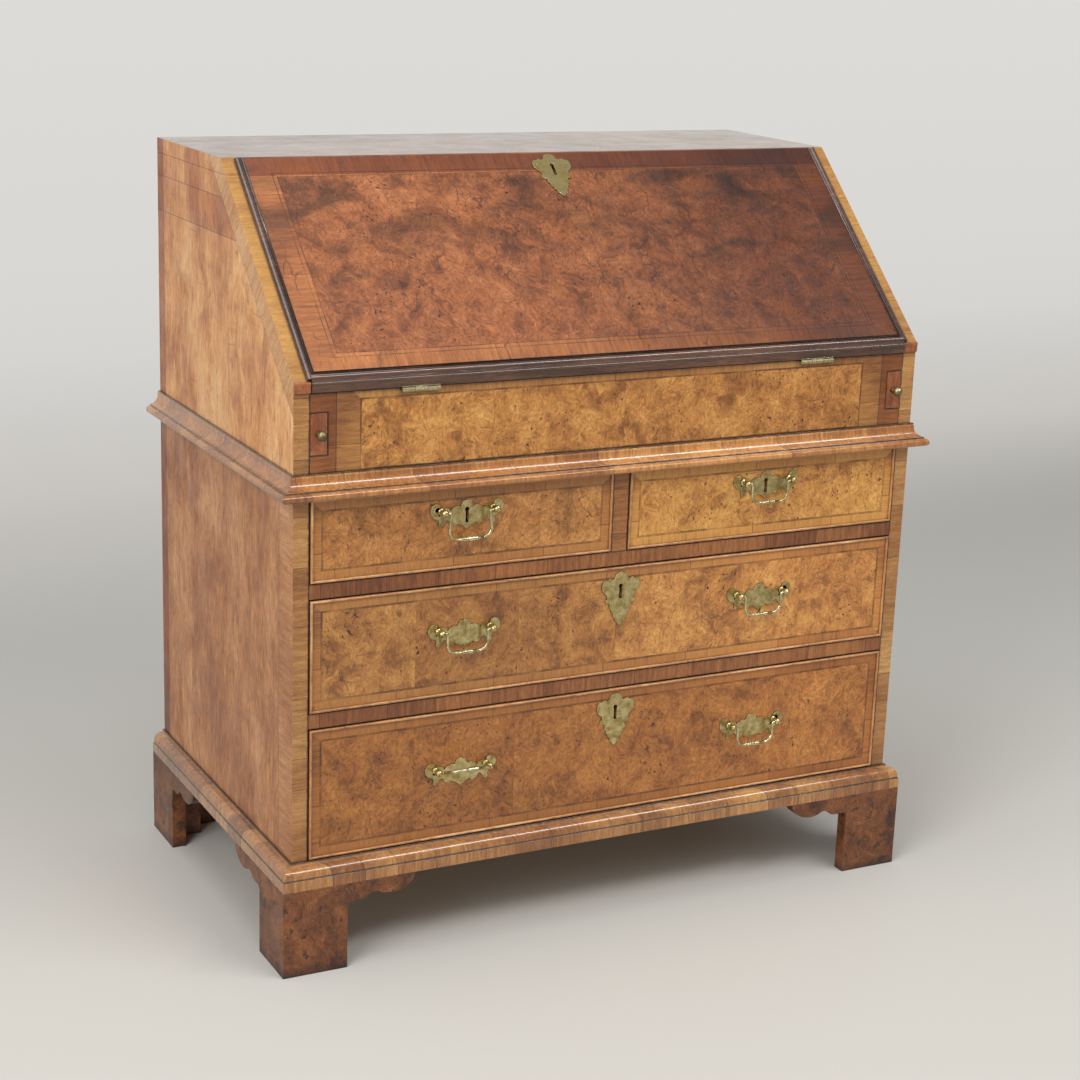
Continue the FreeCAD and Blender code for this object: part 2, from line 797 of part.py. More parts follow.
def lopers():
    y = (s.fascia_thickness, back_face)
    slot = inner - s.slot_width
    guides = []
    for side, sign in SIDES:
        cheek = span(sign, slot - s.guide_thickness, slot)
        guides.append(board(f"loper_cheek_{side}", cheek, y, (desk_floor_top, bed_low)))
        guides.append(board(f"loper_bearer_{side}", span(sign, slot, inner), y, (desk_floor_top, slot_low)))
        guides.append(board(f"loper_kicker_{side}", span(sign, slot, inner), y, (slot_top, bed_low)))

        x = span(sign, slot + s.loper_gap, inner - s.loper_gap)
        z = (slot_low + s.drawer_seat_gap, slot_top - s.loper_gap)
        bar = board(f"loper_{side}_bar", x, (s.loper_setback, s.loper_setback + s.loper_length), z)
        centre = ((x[0] + x[1]) / 2, s.loper_setback, (z[0] + z[1]) / 2)
        neck = s.loper_knob_neck
        shank = s.loper_knob_shank
        bore = knob_bore(f"loper_{side}_bore", neck, centre, shank)
        node(f"loper_{side}", cut(f"loper_{side}_bored", bar, bore))
        turning = knob(f"loper_{side}_knob", s.loper_knob_radius, neck, s.loper_knob_reach, shank)
        node(f"loper_knob_{side}", against_front(turning, *centre))
    node("loper_guides", *guides)


def bed():
    top = bed_top - s.cover_drop
    groove_z = (top - s.cover_thickness - s.cover_gap, top + s.cover_gap)
    y = (s.fascia_thickness, back_face)
    panels = []
    for side, sign in SIDES:
        plain = board(f"bed_panel_{side}", span(sign, s.well_half_width, inner), y, (bed_low, bed_top))
        groove_end = s.well_half_width + s.cover_tongue + s.cover_gap
        x = span(sign, s.well_half_width - s.overrun, groove_end)
        groove = board(f"bed_groove_{side}", x, (s.well_front, back_face + s.overrun), groove_z)
        panels.append(cut(f"bed_panel_{side}_grooved", plain, groove))
    x = (-s.well_half_width, s.well_half_width)
    panels.append(board("bed_front_rail", x, (s.fascia_thickness, s.well_front), (bed_low, bed_top)))
    y = (s.well_front + s.well_length, back_face)
    panels.append(board("bed_back_panel", x, y, (groove_z[1], bed_top)))
    node("writing_bed", *panels)

    x = (-s.well_half_width - s.cover_tongue, s.well_half_width + s.cover_tongue)
    y = (s.well_front + s.cover_gap, s.well_front + s.cover_gap + s.well_length + s.cover_overlap)
    plain = board("well_cover_board", x, y, (top - s.cover_thickness, top))
    start = (0, y[0] + s.cover_scoop_radius * 2, top - s.cover_scoop_depth)
    depth = s.cover_scoop_depth + s.overrun
    scoop = cylinder("well_cover_scoop", s.cover_scoop_radius, start, (0, 0, 1), depth)
    node("well_cover", cut("well_cover_scooped", plain, scoop))


# Small drawers, pigeonholes and niche.

def interior():
    y = (s.interior_front, back_face)
    valance_front = s.interior_front + s.valance_setback
    y_valance = (valance_front, valance_front + s.valance_thickness)
    t = s.partition
    floor_top = bed_top + s.interior_floor
    shelf = (floor_top + s.small_opening, floor_top + s.small_opening + t)
    niche = s.niche_width / 2
    wing = inner - niche - t
    middle = niche + t + wing / 2
    hole = (wing - t * (PIGEONHOLES - 1)) / PIGEONHOLES
    low = desk_ceiling - s.valance_height
    pieces = [
        board("interior_floor", (-inner, inner), y, (bed_top, floor_top)),
        board("niche_shelf", (-niche, niche), y, shelf),
    ]
    arch = faceted(scaled(ARCH_SHARES, s.niche_width, s.valance_height, (-niche, low)), ARCH_LINES)
    valances = [profile("niche_arch", "y", [arch], *y_valance)]
    small = [("centre", (-niche, niche))]
    for side, sign in SIDES:
        pieces.append(board(f"niche_wall_{side}", span(sign, niche, niche + t), y, (floor_top, desk_ceiling)))
        pieces.append(board(f"shelf_{side}", span(sign, niche + t, inner), y, shelf))
        divider = span(sign, middle - t / 2, middle + t / 2)
        pieces.append(board(f"small_divider_{side}", divider, y, (floor_top, shelf[0])))
        small.append((side, span(sign, niche + t, middle - t / 2)))
        small.append((f"far_{side}", span(sign, middle + t / 2, inner)))
        for index in range(PIGEONHOLES):
            start = niche + t + (hole + t) * index
            if index:
                wall = span(sign, start - t, start)
                pieces.append(board(f"pigeonhole_wall_{side}_{index}", wall, y, (shelf[1], desk_ceiling)))
            x = span(sign, start, start + hole)
            outline = faceted(scaled(VALANCE_SHARES, hole, s.valance_height, (x[0], low)), VALANCE_LINES)
            valances.append(profile(f"valance_{side}_{index + 1}", "y", [outline], *y_valance))
    node("interior_case", *pieces)
    node("pigeonhole_valances", *valances)
    for name, x in small:
        small_drawer(f"small_drawer_{name}", x, (floor_top, shelf[0]))


def small_drawer(name, x, z):
    side = s.small_side_thickness
    x = (x[0] + s.small_gap, x[1] - s.small_gap)
    z = (z[0] + s.drawer_seat_gap, z[1] - s.small_gap)
    y = (s.interior_front + s.small_front_thickness, back_face - s.small_back_gap)
    inside = (x[0] + side, x[1] - side)
    centre = ((x[0] + x[1]) / 2, s.interior_front, (z[0] + z[1]) / 2)
    plain = board(f"{name}_face", x, (s.interior_front, y[0]), z)
    neck = s.small_knob_neck
    bore = knob_bore(f"{name}_bore", neck, centre, s.small_front_thickness)
    turning = knob(f"{name}_knob", s.small_knob_radius, neck, s.small_knob_reach, s.small_front_thickness)
    node(
        name,
        cut(f"{name}_face_bored", plain, bore),
        board(f"{name}_side_a", (x[0], inside[0]), y, z),
        board(f"{name}_side_b", (inside[1], x[1]), y, z),
        board(f"{name}_back", inside, (y[1] - side, y[1]), (z[0] + side, z[1])),
        board(f"{name}_bottom", inside, y, (z[0], z[0] + side)),
        against_front(turning, *centre),
    )


# Fall.

def bolt_hole(along):
    """The ranges of a hole in which the bolt of the fall's lock slides freely."""
    middle = fall_inside + s.lock_depth / 2
    across = s.bolt_width / 2 + s.bolt_gap
    deep = s.bolt_thickness / 2 + s.bolt_gap
    return (s.escutcheon_offset - across, s.escutcheon_offset + across), along, (middle - deep, middle + deep)


def beads(start, base, step=1):
    """The small bead, the quirk and the large bead of the fall's moulding, from a start."""
    small_end = start + step * s.small_bead
    large = small_end + step * s.bead_quirk
    end = start + step * s.bead_strip
    return [
        (start, base),
        (((start + small_end) / 2, base + s.small_bead_rise), (small_end, base)),
        (large, base),
        (((large + end) / 2, base + s.bead_rise), (end, base)),
    ]


def fall():
    over = s.overrun
    proud = s.field_proud
    seat = s.bead_seat
    out = (-seat, proud + s.bead_rise + over)
    heel = (s.bead_heel, fall_low)
    nose = scaled(NOSE_SHARES, s.fall_face_proud, slope_foot - fall_low, (0, slope_foot))
    crest = mapped(backwards(beads(s.bead_strip, proud, -1)), lambda point: on_slope(*point))
    strip_outline = faceted(nose + crest, BEAD_LINES) + [on_slope(s.bead_strip, -seat), heel]
    panel_outline = [
        heel, on_slope(s.bead_strip, -seat), on_slope(s.bead_strip, proud), on_slope(fall_end, proud),
        on_slope(fall_end, fall_inside), (slope_y(fall_low, fall_inside), fall_low),
    ]
    recesses = []
    rebates = []
    corners = []
    strips = []
    for side, sign in SIDES:
        leaf_z = (fall_low - over, fall_low + s.hinge_leaf)
        leaf_y = (-s.fall_face_proud - over, s.fall_leaf_depth)
        recesses.append(board(f"fall_leaf_recess_{side}", hinge_x(sign), leaf_y, leaf_z))
        rebate_x = span(sign, strip_start, fall_edge + over)
        rebates.append(slope_board(f"fall_rebate_{side}", rebate_x, (0, fall_end + over), out))
        section = faceted(beads(strip_start, proud), BEAD_LINES)
        section += [(strip_end, s.lip_gap), (fall_edge, s.lip_gap), (fall_edge, -seat), (strip_start, -seat)]
        waste = [
            (strip_start - over, -over), (fall_edge, -over), (fall_edge, strip_end - fall_edge),
            (strip_start - over, s.bead_strip + over),
        ]
        corner = [
            (fall_edge + over, strip_end - fall_edge - over), (fall_edge + over, s.bead_strip + over),
            (strip_start - over, s.bead_strip + over),
        ]
        if sign < 0:
            section = turned_over(section)
            waste = turned_over(waste)
            corner = turned_over(corner)
        strip = against_slope(profile(f"fall_strip_{side}_run", "y", [section], s.lip_gap, fall_end))
        waste = against_slope(profile(f"fall_strip_{side}_waste", "z", [waste], -seat - over, out[1]))
        strips.append(cut(f"fall_strip_{side}", strip, waste))
        corners.append(against_slope(profile(f"fall_corner_{side}_waste", "z", [corner], *out)))
    strip = profile("fall_strip_bottom_run", "x", [strip_outline], -fall_edge, fall_edge)
    node("fall_moulding", *strips, cut("fall_strip_bottom", strip, *corners, *recesses))

    key = (s.escutcheon_offset, fall_end - s.fall_key_drop)
    lock_x = (key[0] - s.lock_width / 2, key[0] + s.lock_width / 2)
    lock_along = (fall_end - s.lock_height, fall_end)
    lock_out = (fall_inside, fall_inside + s.lock_depth)
    recess = (lock_along[0], fall_end + over)
    recess = slope_board("fall_lock_recess", lock_x, recess, (fall_inside - over, lock_out[1]))
    hole = against_slope(profile("fall_keyhole", "z", [keyhole(*key)], lock_out[1], proud + over))
    plate, pins = escutcheon("fall", key, against_slope, proud)
    cleat = fall_edge - s.fall_cleat
    cleat_tools = recesses + rebates
    panels = []
    for name, x, tools in (
        ("field", (-cleat, cleat), recesses + [hole, recess] + pins),
        ("cleat_left", (-fall_edge, -cleat), cleat_tools),
        ("cleat_right", (cleat, fall_edge), cleat_tools),
    ):
        panels.append(cut(f"fall_{name}", profile(f"fall_{name}_plain", "x", [panel_outline], *x), *tools))
    node("fall_panel", *panels)
    node("fall_escutcheon", plate, *pins)

    case = slope_board("fall_lock_case", lock_x, lock_along, lock_out)
    chamber = bolt_hole((fall_end - s.bolt_length - s.lock_plate, fall_end + over))
    keyway = (fall_inside + s.lock_plate, lock_out[1] + over)
    keyway = against_slope(profile("fall_lock_keyhole", "z", [keyhole(*key)], *keyway))
    node("fall_lock", cut("fall_lock_shaped", case, slope_board("fall_lock_chamber", *chamber), keyway))
    gap = s.bolt_gap
    bolt = (fall_end - gap - s.bolt_length, fall_end - gap)
    bolt_x = (chamber[0][0] + gap, chamber[0][1] - gap)
    bolt_out = (chamber[2][0] + gap, chamber[2][1] - gap)
    node("fall_lock_bolt", slope_board("lock_bolt", bolt_x, bolt, bolt_out))


def hinge_x(sign):
    return span(sign, s.hinge_centre - s.hinge_length / 2, s.hinge_centre + s.hinge_length / 2)


def hinges():
    axis = (-s.hinge_reach, fascia_top - s.hinge_drop)
    leaf_z = (fascia_top - s.hinge_leaf, fascia_top)
    web = (axis[0] - s.hinge_web, axis[0] + s.hinge_web)
    third = s.hinge_length / 3
    gap = s.hinge_joint_gap / 2
    round_knuckle = [in_circle(axis, s.hinge_radius)]
    case_pieces = []
    fall_pieces = []
    for side, sign in SIDES:
        x = hinge_x(sign)
        middle = (x[0] + third + gap, x[1] - third - gap)
        pieces = [board(f"case_leaf_{side}", x, (0, s.hinge_leaf_depth), leaf_z)]
        ends = ((x[0], x[0] + third - gap), (x[1] - third + gap, x[1]))
        for index, end in enumerate(ends, 1):
            pieces.append(board(f"case_web_{side}_{index}", end, (axis[0], 0), leaf_z))
            pieces.append(profile(f"case_knuckle_{side}_{index}", "x", round_knuckle, *end))
        pin = profile(f"hinge_pin_{side}", "x", [in_circle(axis, s.hinge_pin)], *x)
        case_pieces.append(cut(f"case_hinge_{side}", fused(f"case_hinge_{side}_body", *pieces), pin))
        case_pieces.append(pin)

        leaf_y = (-s.fall_face_proud, s.fall_leaf_depth)
        leaf = board(f"fall_leaf_{side}", x, leaf_y, (fall_low, fall_low + s.hinge_leaf))
        arm = board(f"fall_web_{side}", middle, web, (axis[1], fall_low + s.hinge_leaf))
        knuckle = profile(f"fall_knuckle_{side}", "x", round_knuckle, *middle)
        bore = [about_circle(axis, s.hinge_pin + s.hinge_pin_gap)]
        bore = profile(f"fall_knuckle_bore_{side}", "x", bore, *middle)
        whole = fused(f"fall_hinge_{side}_body", leaf, arm, knuckle)
        fall_pieces.append(cut(f"fall_hinge_{side}", whole, bore))
    node("case_hinge_leaves", *case_pieces)
    node("fall_hinge_leaves", *fall_pieces)


# Brasses.

def keyhole(x, z):
    """A keyhole about its middle: a round head over a narrower slot."""
    x = float(x)
    head = float(s.key_head)
    slot = float(s.key_slot)
    low = float(z - s.key_length / 2)
    middle = float(z + s.key_length / 2) - head
    meet = middle - math.sqrt(head * head - slot * slot)
    turns = [math.radians(turn) for turn in KEY_HEAD_TURNS]
    crown = [(x + head * math.cos(turn), middle + head * math.sin(turn)) for turn in turns]
    return [(x - slot, low), (x + slot, low), (x + slot, meet)] + crown + [(x - slot, meet)]


def escutcheon(name, key, put, out):
    """A pierced escutcheon with its three pins, about the middle of its keyhole."""
    pins = []
    length = s.pin_length
    section = [(0, -length), (s.pin_shank, -length), (s.pin_shank, s.plate_thickness)]
    section += scaled(PIN_HEAD_SHARES, s.pin_radius, s.pin_head, (0, s.plate_thickness))
    for index, share in enumerate(PIN_SHARES, 1):
        across, up = scaled([share], s.escutcheon_half_width, s.escutcheon_drop)[0]
        pin = turned(f"{name}_pin_{index}", section)
        pins.append(put(pin, key[0] + across, key[1] + up, out))
    outline = scaled(ESCUTCHEON_SHARES, s.escutcheon_half_width, s.escutcheon_drop)
    outline = both_halves(faceted(outline, PLATE_LINES))
    whole = profile(f"{name}_escutcheon_plate", "z", [outline, keyhole(0, as_size(0))], 0, s.plate_thickness)
    return cut(f"{name}_escutcheon_pierced", put(whole, *key, out), *pins), pins


def on_drawer(piece, x, z, out):
    return against_front(piece, x, -as_size(out), z)


def handle(name, x, z, key_drop=None):
    """A handle's plate, its two posts and their nuts, and the bores for the posts."""
    gap = s.post_spacing / 2
    outline = scaled(PLATE_SHARES, s.plate_half_width, s.plate_drop)
    outlines = [both_halves(faceted(outline, PLATE_LINES))]
    if key_drop:
        outlines.append(keyhole(0, -key_drop))
    outlines += [about_circle((sign * gap, 0), s.post_shank) for _, sign in SIDES]
    pieces = [on_drawer(profile(f"{name}_plate", "z", outlines, 0, s.plate_thickness), x, z, 0)]
    bores = []
    back = s.front_thickness + s.nut_thickness
    reach = s.post_reach
    section = [(0, -back), (s.post_shank, -back), (s.post_shank, s.plate_thickness)]
    section += scaled(POST_SHARES, s.post_head, reach, (0, s.plate_thickness))
    section += scaled(BALL_SHARES, s.post_head, s.post_head, (0, reach))
    pivot = [about_circle((-reach, z), s.bail_radius + s.bail_pivot_gap)]
    wide = s.nut_size / 2
    square = [(-wide, -wide), (wide, -wide), (wide, wide), (-wide, wide)]
    for side, sign in SIDES:
        place = x + sign * gap
        post = on_drawer(turned(f"{name}_post_{side}", section), place, z, 0)
        hole = span(sign, gap - s.post_head - s.overrun, gap - s.bail_pivot_inset + s.bail_end_gap)
        bore = profile(f"{name}_bore_{side}", "x", pivot, x + hole[0], x + hole[1])
        pieces.append(cut(f"{name}_post_{side}_bored", post, bore))
        shank = [about_circle((place, z), s.post_shank)]
        bores.append(profile(f"{name}_shank_{side}", "y", shank, 0, s.front_thickness))
        pierced = [square, about_circle((0, 0), s.post_shank)]
        nut = profile(f"{name}_nut_{side}", "z", pierced, -back, -s.front_thickness)
        pieces.append(on_drawer(nut, place, z, 0))
    return pieces, bores


def bail(name, x, z, top, low, drop, middle, raised=False):
    """A swinging bail: a bent bar with its two ends in the posts and a turned middle."""
    shares, length, radius = middle
    end = s.post_spacing / 2 - s.bail_pivot_inset
    points = [(end, 0), (top, 0), (low, -drop), (-low, -drop), (-top, 0), (-end, 0)]
    path = rounded(points, (s.bail_elbow, s.bail_corner, s.bail_corner, s.bail_elbow))
    path = faceted(path, BAIL_LINES)
    body = document.addObject("PartDesign::Body", name + "_bent")
    spine = sketch_on(body, "XZ_Plane", [])
    spine.addGeometry(edges_of(path, closed=False), False)
    pipe = body.newObject("PartDesign::AdditivePipe", name + "_bar")
    pipe.Profile = sketch_on(body, "YZ_Plane", [about_circle((0, 0), s.bail_radius)], end)
    pipe.Spine = spine
    pipe.Transition = "Right corner"
    turning = turned(f"{name}_middle", scaled(shares, radius, length))
    turning.Placement = Placement(Vector(0, 0, -float(drop)), Rotation(Vector(0, 0, 1), Vector(1, 0, 0)))
    whole = fused(f"{name}_whole", body, turning)
    whole.Placement = Placement(Vector(0, 0, 0), raised_turn if raised else Rotation())
    for axis, place in zip("xyz", (x, -s.post_reach, z)):
        whole.setExpression(f"Placement.Base.{axis}", as_size(place).formula)
    node(name, whole)


# Drawers.

def bead_strips(name, x, z):
    """The four mitred cock beads round a drawer's front and the rebates that they lie in."""
    t = s.bead_width
    over = s.overrun
    y = (-s.bead_proud, s.bead_depth - s.bead_proud)
    nose = y[0] + t / 2
    flat = (y[1], 0)
    section = faceted([flat, (y[1], t), (nose, t), ((y[0], t / 2), (nose, 0))], BEAD_LINES)
    plans = {
        "low": [(x[0], z[0]), (x[1], z[0]), (x[1] - t, z[0] + t), (x[0] + t, z[0] + t)],
        "high": [(x[0], z[1]), (x[1], z[1]), (x[1] - t, z[1] - t), (x[0] + t, z[1] - t)],
        "left": [(x[0], z[0]), (x[0] + t, z[0] + t), (x[0] + t, z[1] - t), (x[0], z[1])],
        "right": [(x[1], z[0]), (x[1] - t, z[0] + t), (x[1] - t, z[1] - t), (x[1], z[1])],
    }
    strips = []
    rebates = []
    for place, plan in plans.items():
        if place in ("low", "high"):
            low = z[0] if place == "low" else z[1] - t
            run = profile(f"{name}_bead_{place}_run", "x", [moved(section, 0, low)], *x)
            rebate_z = (low - over, low + t) if place == "low" else (low, low + t + over)
            rebates.append(board(f"{name}_rebate_{place}", x, (-over, y[1]), rebate_z))
        else:
            low = x[0] if place == "left" else x[1] - t
            upright = mapped(section, lambda point: (point[1] + low, point[0]))
            run = profile(f"{name}_bead_{place}_run", "z", [upright], *z)
            rebate_x = (low - over, low + t) if place == "left" else (low, low + t + over)
            rebates.append(board(f"{name}_rebate_{place}", rebate_x, (-over, y[1]), z))
        plan = profile(f"{name}_bead_{place}_plan", "y", [plan], y[0] - over, y[1] + over)
        strips.append(common(f"{name}_bead_{place}", run, plan))
    return strips, rebates


def dovetailed(y_front, y_back, z):
    """The outline of a drawer's side, with dovetails at its front end."""
    height = float(z[1] - z[0])
    count = max(2, round(height / float(s.dovetail_pitch)))
    pitch = height / count
    spread = float(s.dovetail_spread)
    reach = float(y_front - s.dovetail_length)
    steps = [(y_back, z[0]), (y_back, z[1])]
    for index in reversed(range(count)):
        low = float(z[0]) + pitch * index + pitch * TAIL_SHARES[0]
        high = float(z[0]) + pitch * index + pitch * TAIL_SHARES[1]
        if index == count - 1:
            steps.append((y_front, z[1]))
        steps += [(y_front, high), (reach, high + spread), (reach, low - spread), (y_front, low)]
    return steps + [(y_front, z[0])]


def drawer(name, x, z, key, handles):
    """A drawer with a cock-beaded front, a lap-dovetailed box, its handles and its lock."""
    post_z = z[0] + handles[0][2]
    front_x = (x[0] + s.front_side_gap, x[1] - s.front_side_gap)
    front_z = (z[0] + s.front_lift, z[1] - s.drawer_gap)
    back = s.front_thickness
    lock_x = (key[0] - s.drawer_lock_width / 2, key[0] + s.drawer_lock_width / 2)
    lock_z = (front_z[1] - s.drawer_lock_height, front_z[1])
    lock_y = (back - s.drawer_lock_depth, back)
    brasses = []
    tools = []
    if key[1] is None:
        key_z = post_z - s.plate_key_drop
        key_drop = s.plate_key_drop
    else:
        key_z = z[0] + key[1]
        key_drop = None
        pierced, pins = escutcheon(name, (key[0], key_z), on_drawer, 0)
        brasses += [pierced] + pins
        tools += pins
    for handle_name, handle_x, _ in handles:
        pieces, bores = handle(handle_name, handle_x, post_z, key_drop)
        brasses += pieces
        tools += bores
    hole = profile(f"{name}_keyhole", "y", [keyhole(key[0], key_z)], -s.overrun, back)
    keyway = profile(f"{name}_keyway", "y", [keyhole(key[0], key_z)], -s.overrun, back - s.lock_plate)
    lock = board(f"{name}_lock_case", lock_x, lock_y, lock_z)
    brasses.append(cut(f"{name}_lock", lock, keyway))
    node(f"{name}_brasses", *brasses)

    length = (back, back_face - s.drawer_back_gap)
    box_x = (x[0] + s.drawer_side_gap, x[1] - s.drawer_side_gap)
    box_z = (z[0] + s.drawer_seat_gap, z[1] - s.drawer_side_drop)
    inside = (box_x[0] + s.drawer_side_thickness, box_x[1] - s.drawer_side_thickness)
    outline = dovetailed(*length, box_z)
    sides = [
        profile(f"{name}_side_a", "x", [outline], box_x[0], inside[0]),
        profile(f"{name}_side_b", "x", [outline], inside[1], box_x[1]),
    ]
    bottom_z = (box_z[0] + s.drawer_bottom_lift, box_z[0] + s.drawer_bottom_lift + s.drawer_bottom_thickness)
    back_y = (length[1] - s.drawer_back_thickness, length[1])
    node(
        f"{name}_box",
        *sides,
        board(f"{name}_back", inside, back_y, (bottom_z[1], box_z[1])),
        board(f"{name}_bottom", inside, length, bottom_z),
    )

    strips, rebates = bead_strips(name, front_x, front_z)
    plain = board(f"{name}_face", front_x, (0, back), front_z)
    node(f"{name}_front", cut(f"{name}_face_shaped", plain, *rebates, *tools, hole, lock, *sides), *strips)


def drawers():
    offset = s.handle_offset
    edge = s.muntin_width / 2
    z = (rail_2_top, chest_ceiling)
    swell = (SWELL_SHARES, s.large_bail_swell_length, s.large_bail_swell)
    large = (s.large_bail_top, s.large_bail_low, s.large_bail_drop, swell)
    knop = (KNOP_SHARES, s.bail_knop_length, s.bail_knop)
    usual = (s.bail_half_width, s.bail_half_width, s.bail_drop, knop)
    for side, sign in SIDES:
        name = f"upper_{side}"
        x = span(sign, edge, inner)
        place = sign * offset
        drawer(f"{name}_drawer", x, z, (place, None), [(f"{name}_handle", place, s.short_post_height)])
        bail(f"{name}_bail", place, z[0] + s.short_post_height, *(large if sign < 0 else usual))
    for name, low, opening, post, key in (
        ("middle", rail_1_top, s.middle_opening, s.middle_post_height, s.middle_key_height),
        ("bottom", base_top, s.bottom_opening, s.bottom_post_height, s.bottom_key_height),
    ):
        handles = [(f"{name}_{side}_handle", sign * offset, post) for side, sign in SIDES]
        z = (low, low + opening)
        drawer(f"{name}_drawer", (-inner, inner), z, (s.escutcheon_offset, key), handles)
        for side, sign in SIDES:
            raised = name == "bottom" and sign < 0
            bail(f"{name}_{side}_bail", sign * offset, low + post, *usual, raised=raised)


def main():
    chest()
    base = (s.base_moulding_reach, s.foot_height, s.base_moulding_height)
    moulding("base_moulding", BASE_MOULDING_SHARES, *base)
    waist = (s.waist_moulding_reach, chest_ceiling, s.chest_top_thickness + s.desk_floor_thickness)
    moulding("waist_moulding", WAIST_MOULDING_SHARES, *waist)
    feet()
    desk()
    fascia()
    lopers()
    bed()
    interior()
    fall()
    hinges()
    drawers()


main()
document.recompute()
for item in document.Objects:
    if "Invalid" in item.State or "Error" in item.State:
        raise RuntimeError(f"{item.Label} failed: {item.State}")
for item in nodes:
    if item.Shape.isNull() or not item.Shape.isValid():
        raise RuntimeError(f"{item.Label} has no valid shape")
os.makedirs("parts", exist_ok=True)
for item in nodes:
    item.Shape.exportStep(f"parts/{item.Label}.step")
    print(item.Label, len(item.Shape.Solids), item.Shape.BoundBox)
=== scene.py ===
import json
import math

import bpy
from mathutils import Matrix, Vector

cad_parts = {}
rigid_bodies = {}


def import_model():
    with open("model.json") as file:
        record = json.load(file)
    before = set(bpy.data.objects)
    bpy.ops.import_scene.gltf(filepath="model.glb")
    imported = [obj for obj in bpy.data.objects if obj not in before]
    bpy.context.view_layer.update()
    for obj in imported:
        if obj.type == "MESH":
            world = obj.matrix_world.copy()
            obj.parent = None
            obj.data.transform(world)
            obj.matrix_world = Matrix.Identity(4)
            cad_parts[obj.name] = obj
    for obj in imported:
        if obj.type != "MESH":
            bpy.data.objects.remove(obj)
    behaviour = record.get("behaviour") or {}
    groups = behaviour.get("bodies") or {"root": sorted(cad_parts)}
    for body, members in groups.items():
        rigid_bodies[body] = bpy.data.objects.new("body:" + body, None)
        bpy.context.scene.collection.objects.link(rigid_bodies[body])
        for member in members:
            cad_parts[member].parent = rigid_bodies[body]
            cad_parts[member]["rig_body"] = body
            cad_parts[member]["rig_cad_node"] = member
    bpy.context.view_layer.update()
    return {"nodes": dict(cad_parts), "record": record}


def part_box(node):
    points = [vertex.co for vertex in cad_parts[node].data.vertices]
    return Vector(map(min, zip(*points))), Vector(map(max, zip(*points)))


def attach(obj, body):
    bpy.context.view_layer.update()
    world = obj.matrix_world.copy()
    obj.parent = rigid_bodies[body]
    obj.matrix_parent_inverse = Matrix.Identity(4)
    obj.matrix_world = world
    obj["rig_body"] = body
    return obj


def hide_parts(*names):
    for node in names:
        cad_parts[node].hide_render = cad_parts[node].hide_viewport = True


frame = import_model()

# A walnut writing bureau: veneered carcase, burr fronts framed by cross banding and cock beads, a
# dark moulded fall, and cast brass handles. All is in metres. X runs right, Y to the back, Z up.

MM = 0.001

# The photographer's place and lens. Angles are in degrees.
CAMERA_PLACE = (-1.400, -2.696, 1.325)
CAMERA_AZIMUTH = -27.57
CAMERA_ELEVATION = 15.67
CAMERA_ROLL = 2.01
CAMERA_LENS = 73.81
SENSOR_WIDTH = 36

# The slope of the fall, and the upright of the drawers, as angles about X.
SLOPE = math.radians(42.42)
UPRIGHT = math.radians(90)

# Places on the bureau that the materials mark. Heights are counted from the floor, widths from the
# middle and depths from the case's own centre.
FASCIA_BURR_END = 0.404
FASCIA_TOP = 0.763
SLOT_ASIDE = (0.415, 0.438)
SLOT_UP = (0.685, 0.738)
SLOPE_FOOT = (-0.2411, 0.778)
SLOPE_BAND = 32 * MM
TOP_ROWS = (0.968, 0.92)
CHEST_BAND_BACK = -0.194
BACK_STRIP = (0.2555, 0.2565)
SIDE_INNER_FACE = 0.4375
DRAWER_GAP = 0.438
MUNTIN_HALF = 0.012
RAIL_EDGES = (0.330, 0.3505, 0.501, 0.5215)
WAIST_QUIRKS = (0.6432, 0.6625)
BASE_QUIRKS = (0.1336, 0.1515)

# The cock bead: how wide it is across the front, and how far back its material reaches.
BEAD_WIDTH = 3.7 * MM
BEAD_DEPTH = 9 * MM

# Colours that several materials share: plain white, which darkens nothing, and a near black
# for painted shade in gaps and quirks, which stands also for old soiling there.
WHITE = "FFFFFF"
SHADE_AND_DIRT = "24160E"

# The paper sweep, and how its glow grows from the floor behind the bureau to its top.
SWEEP_SIZE = 14
SWEEP_HEIGHT = 7
SWEEP_BEND = 3
GLOW_STARTS = (1.2, 2.3)
GLOW_RISES = (2.0, 3.8)
GLOW_TOPS = (3.8, 6.8)
LAMP_TARGET = Vector((0, 0, 0.5))

# Each lamp's name, place, width, depth and power.
LAMPS = (
    ("key", (-3.2, -2.2, 2.7), 2.0, 2.0, 104),
    ("high", (1.4, -2.3, 3.2), 2.6, 0.5, 62),
    ("top", (-0.9, -0.5, 3.9), 2.4, 2.4, 48),
)


def linear(code):
    """An sRGB hex colour as the linear one that a shader takes."""
    values = [int(code[start:start + 2], 16) / 255 for start in (0, 2, 4)]
    return [v / 12.92 if v <= 0.04045 else ((v + 0.055) / 1.055) ** 2.4 for v in values] + [1]


# Materials. Patterns read Object coordinates, in metres, so a scale is a number per metre.

def add(tree, kind, sockets=(), **settings):
    """Adds a node and gives its output.

    A socket is named or counted, and takes a value or a link.
    """
    made = tree.nodes.new("ShaderNode" + kind)
    for name, value in settings.items():
        setattr(made, name, value)
    for key, value in dict(sockets).items():
        socket = made.inputs[key] if isinstance(key, int) else next(
            s for s in made.inputs if s.enabled and s.name == key)
        if isinstance(value, bpy.types.NodeSocket):
            tree.links.new(value, socket)
        else:
            socket.default_value = value
    return next((s for s in made.outputs if s.enabled), None)


def new_material(name):
    """A material with an empty tree of nodes, and that tree."""
    material = bpy.data.materials.new(name)
    material.use_nodes = True
    material.node_tree.nodes.clear()
    return material, material.node_tree


def per_metre(millimetres):
    """The scale at which a pattern repeats about once in this many millimetres."""
    return 1000 / millimetres


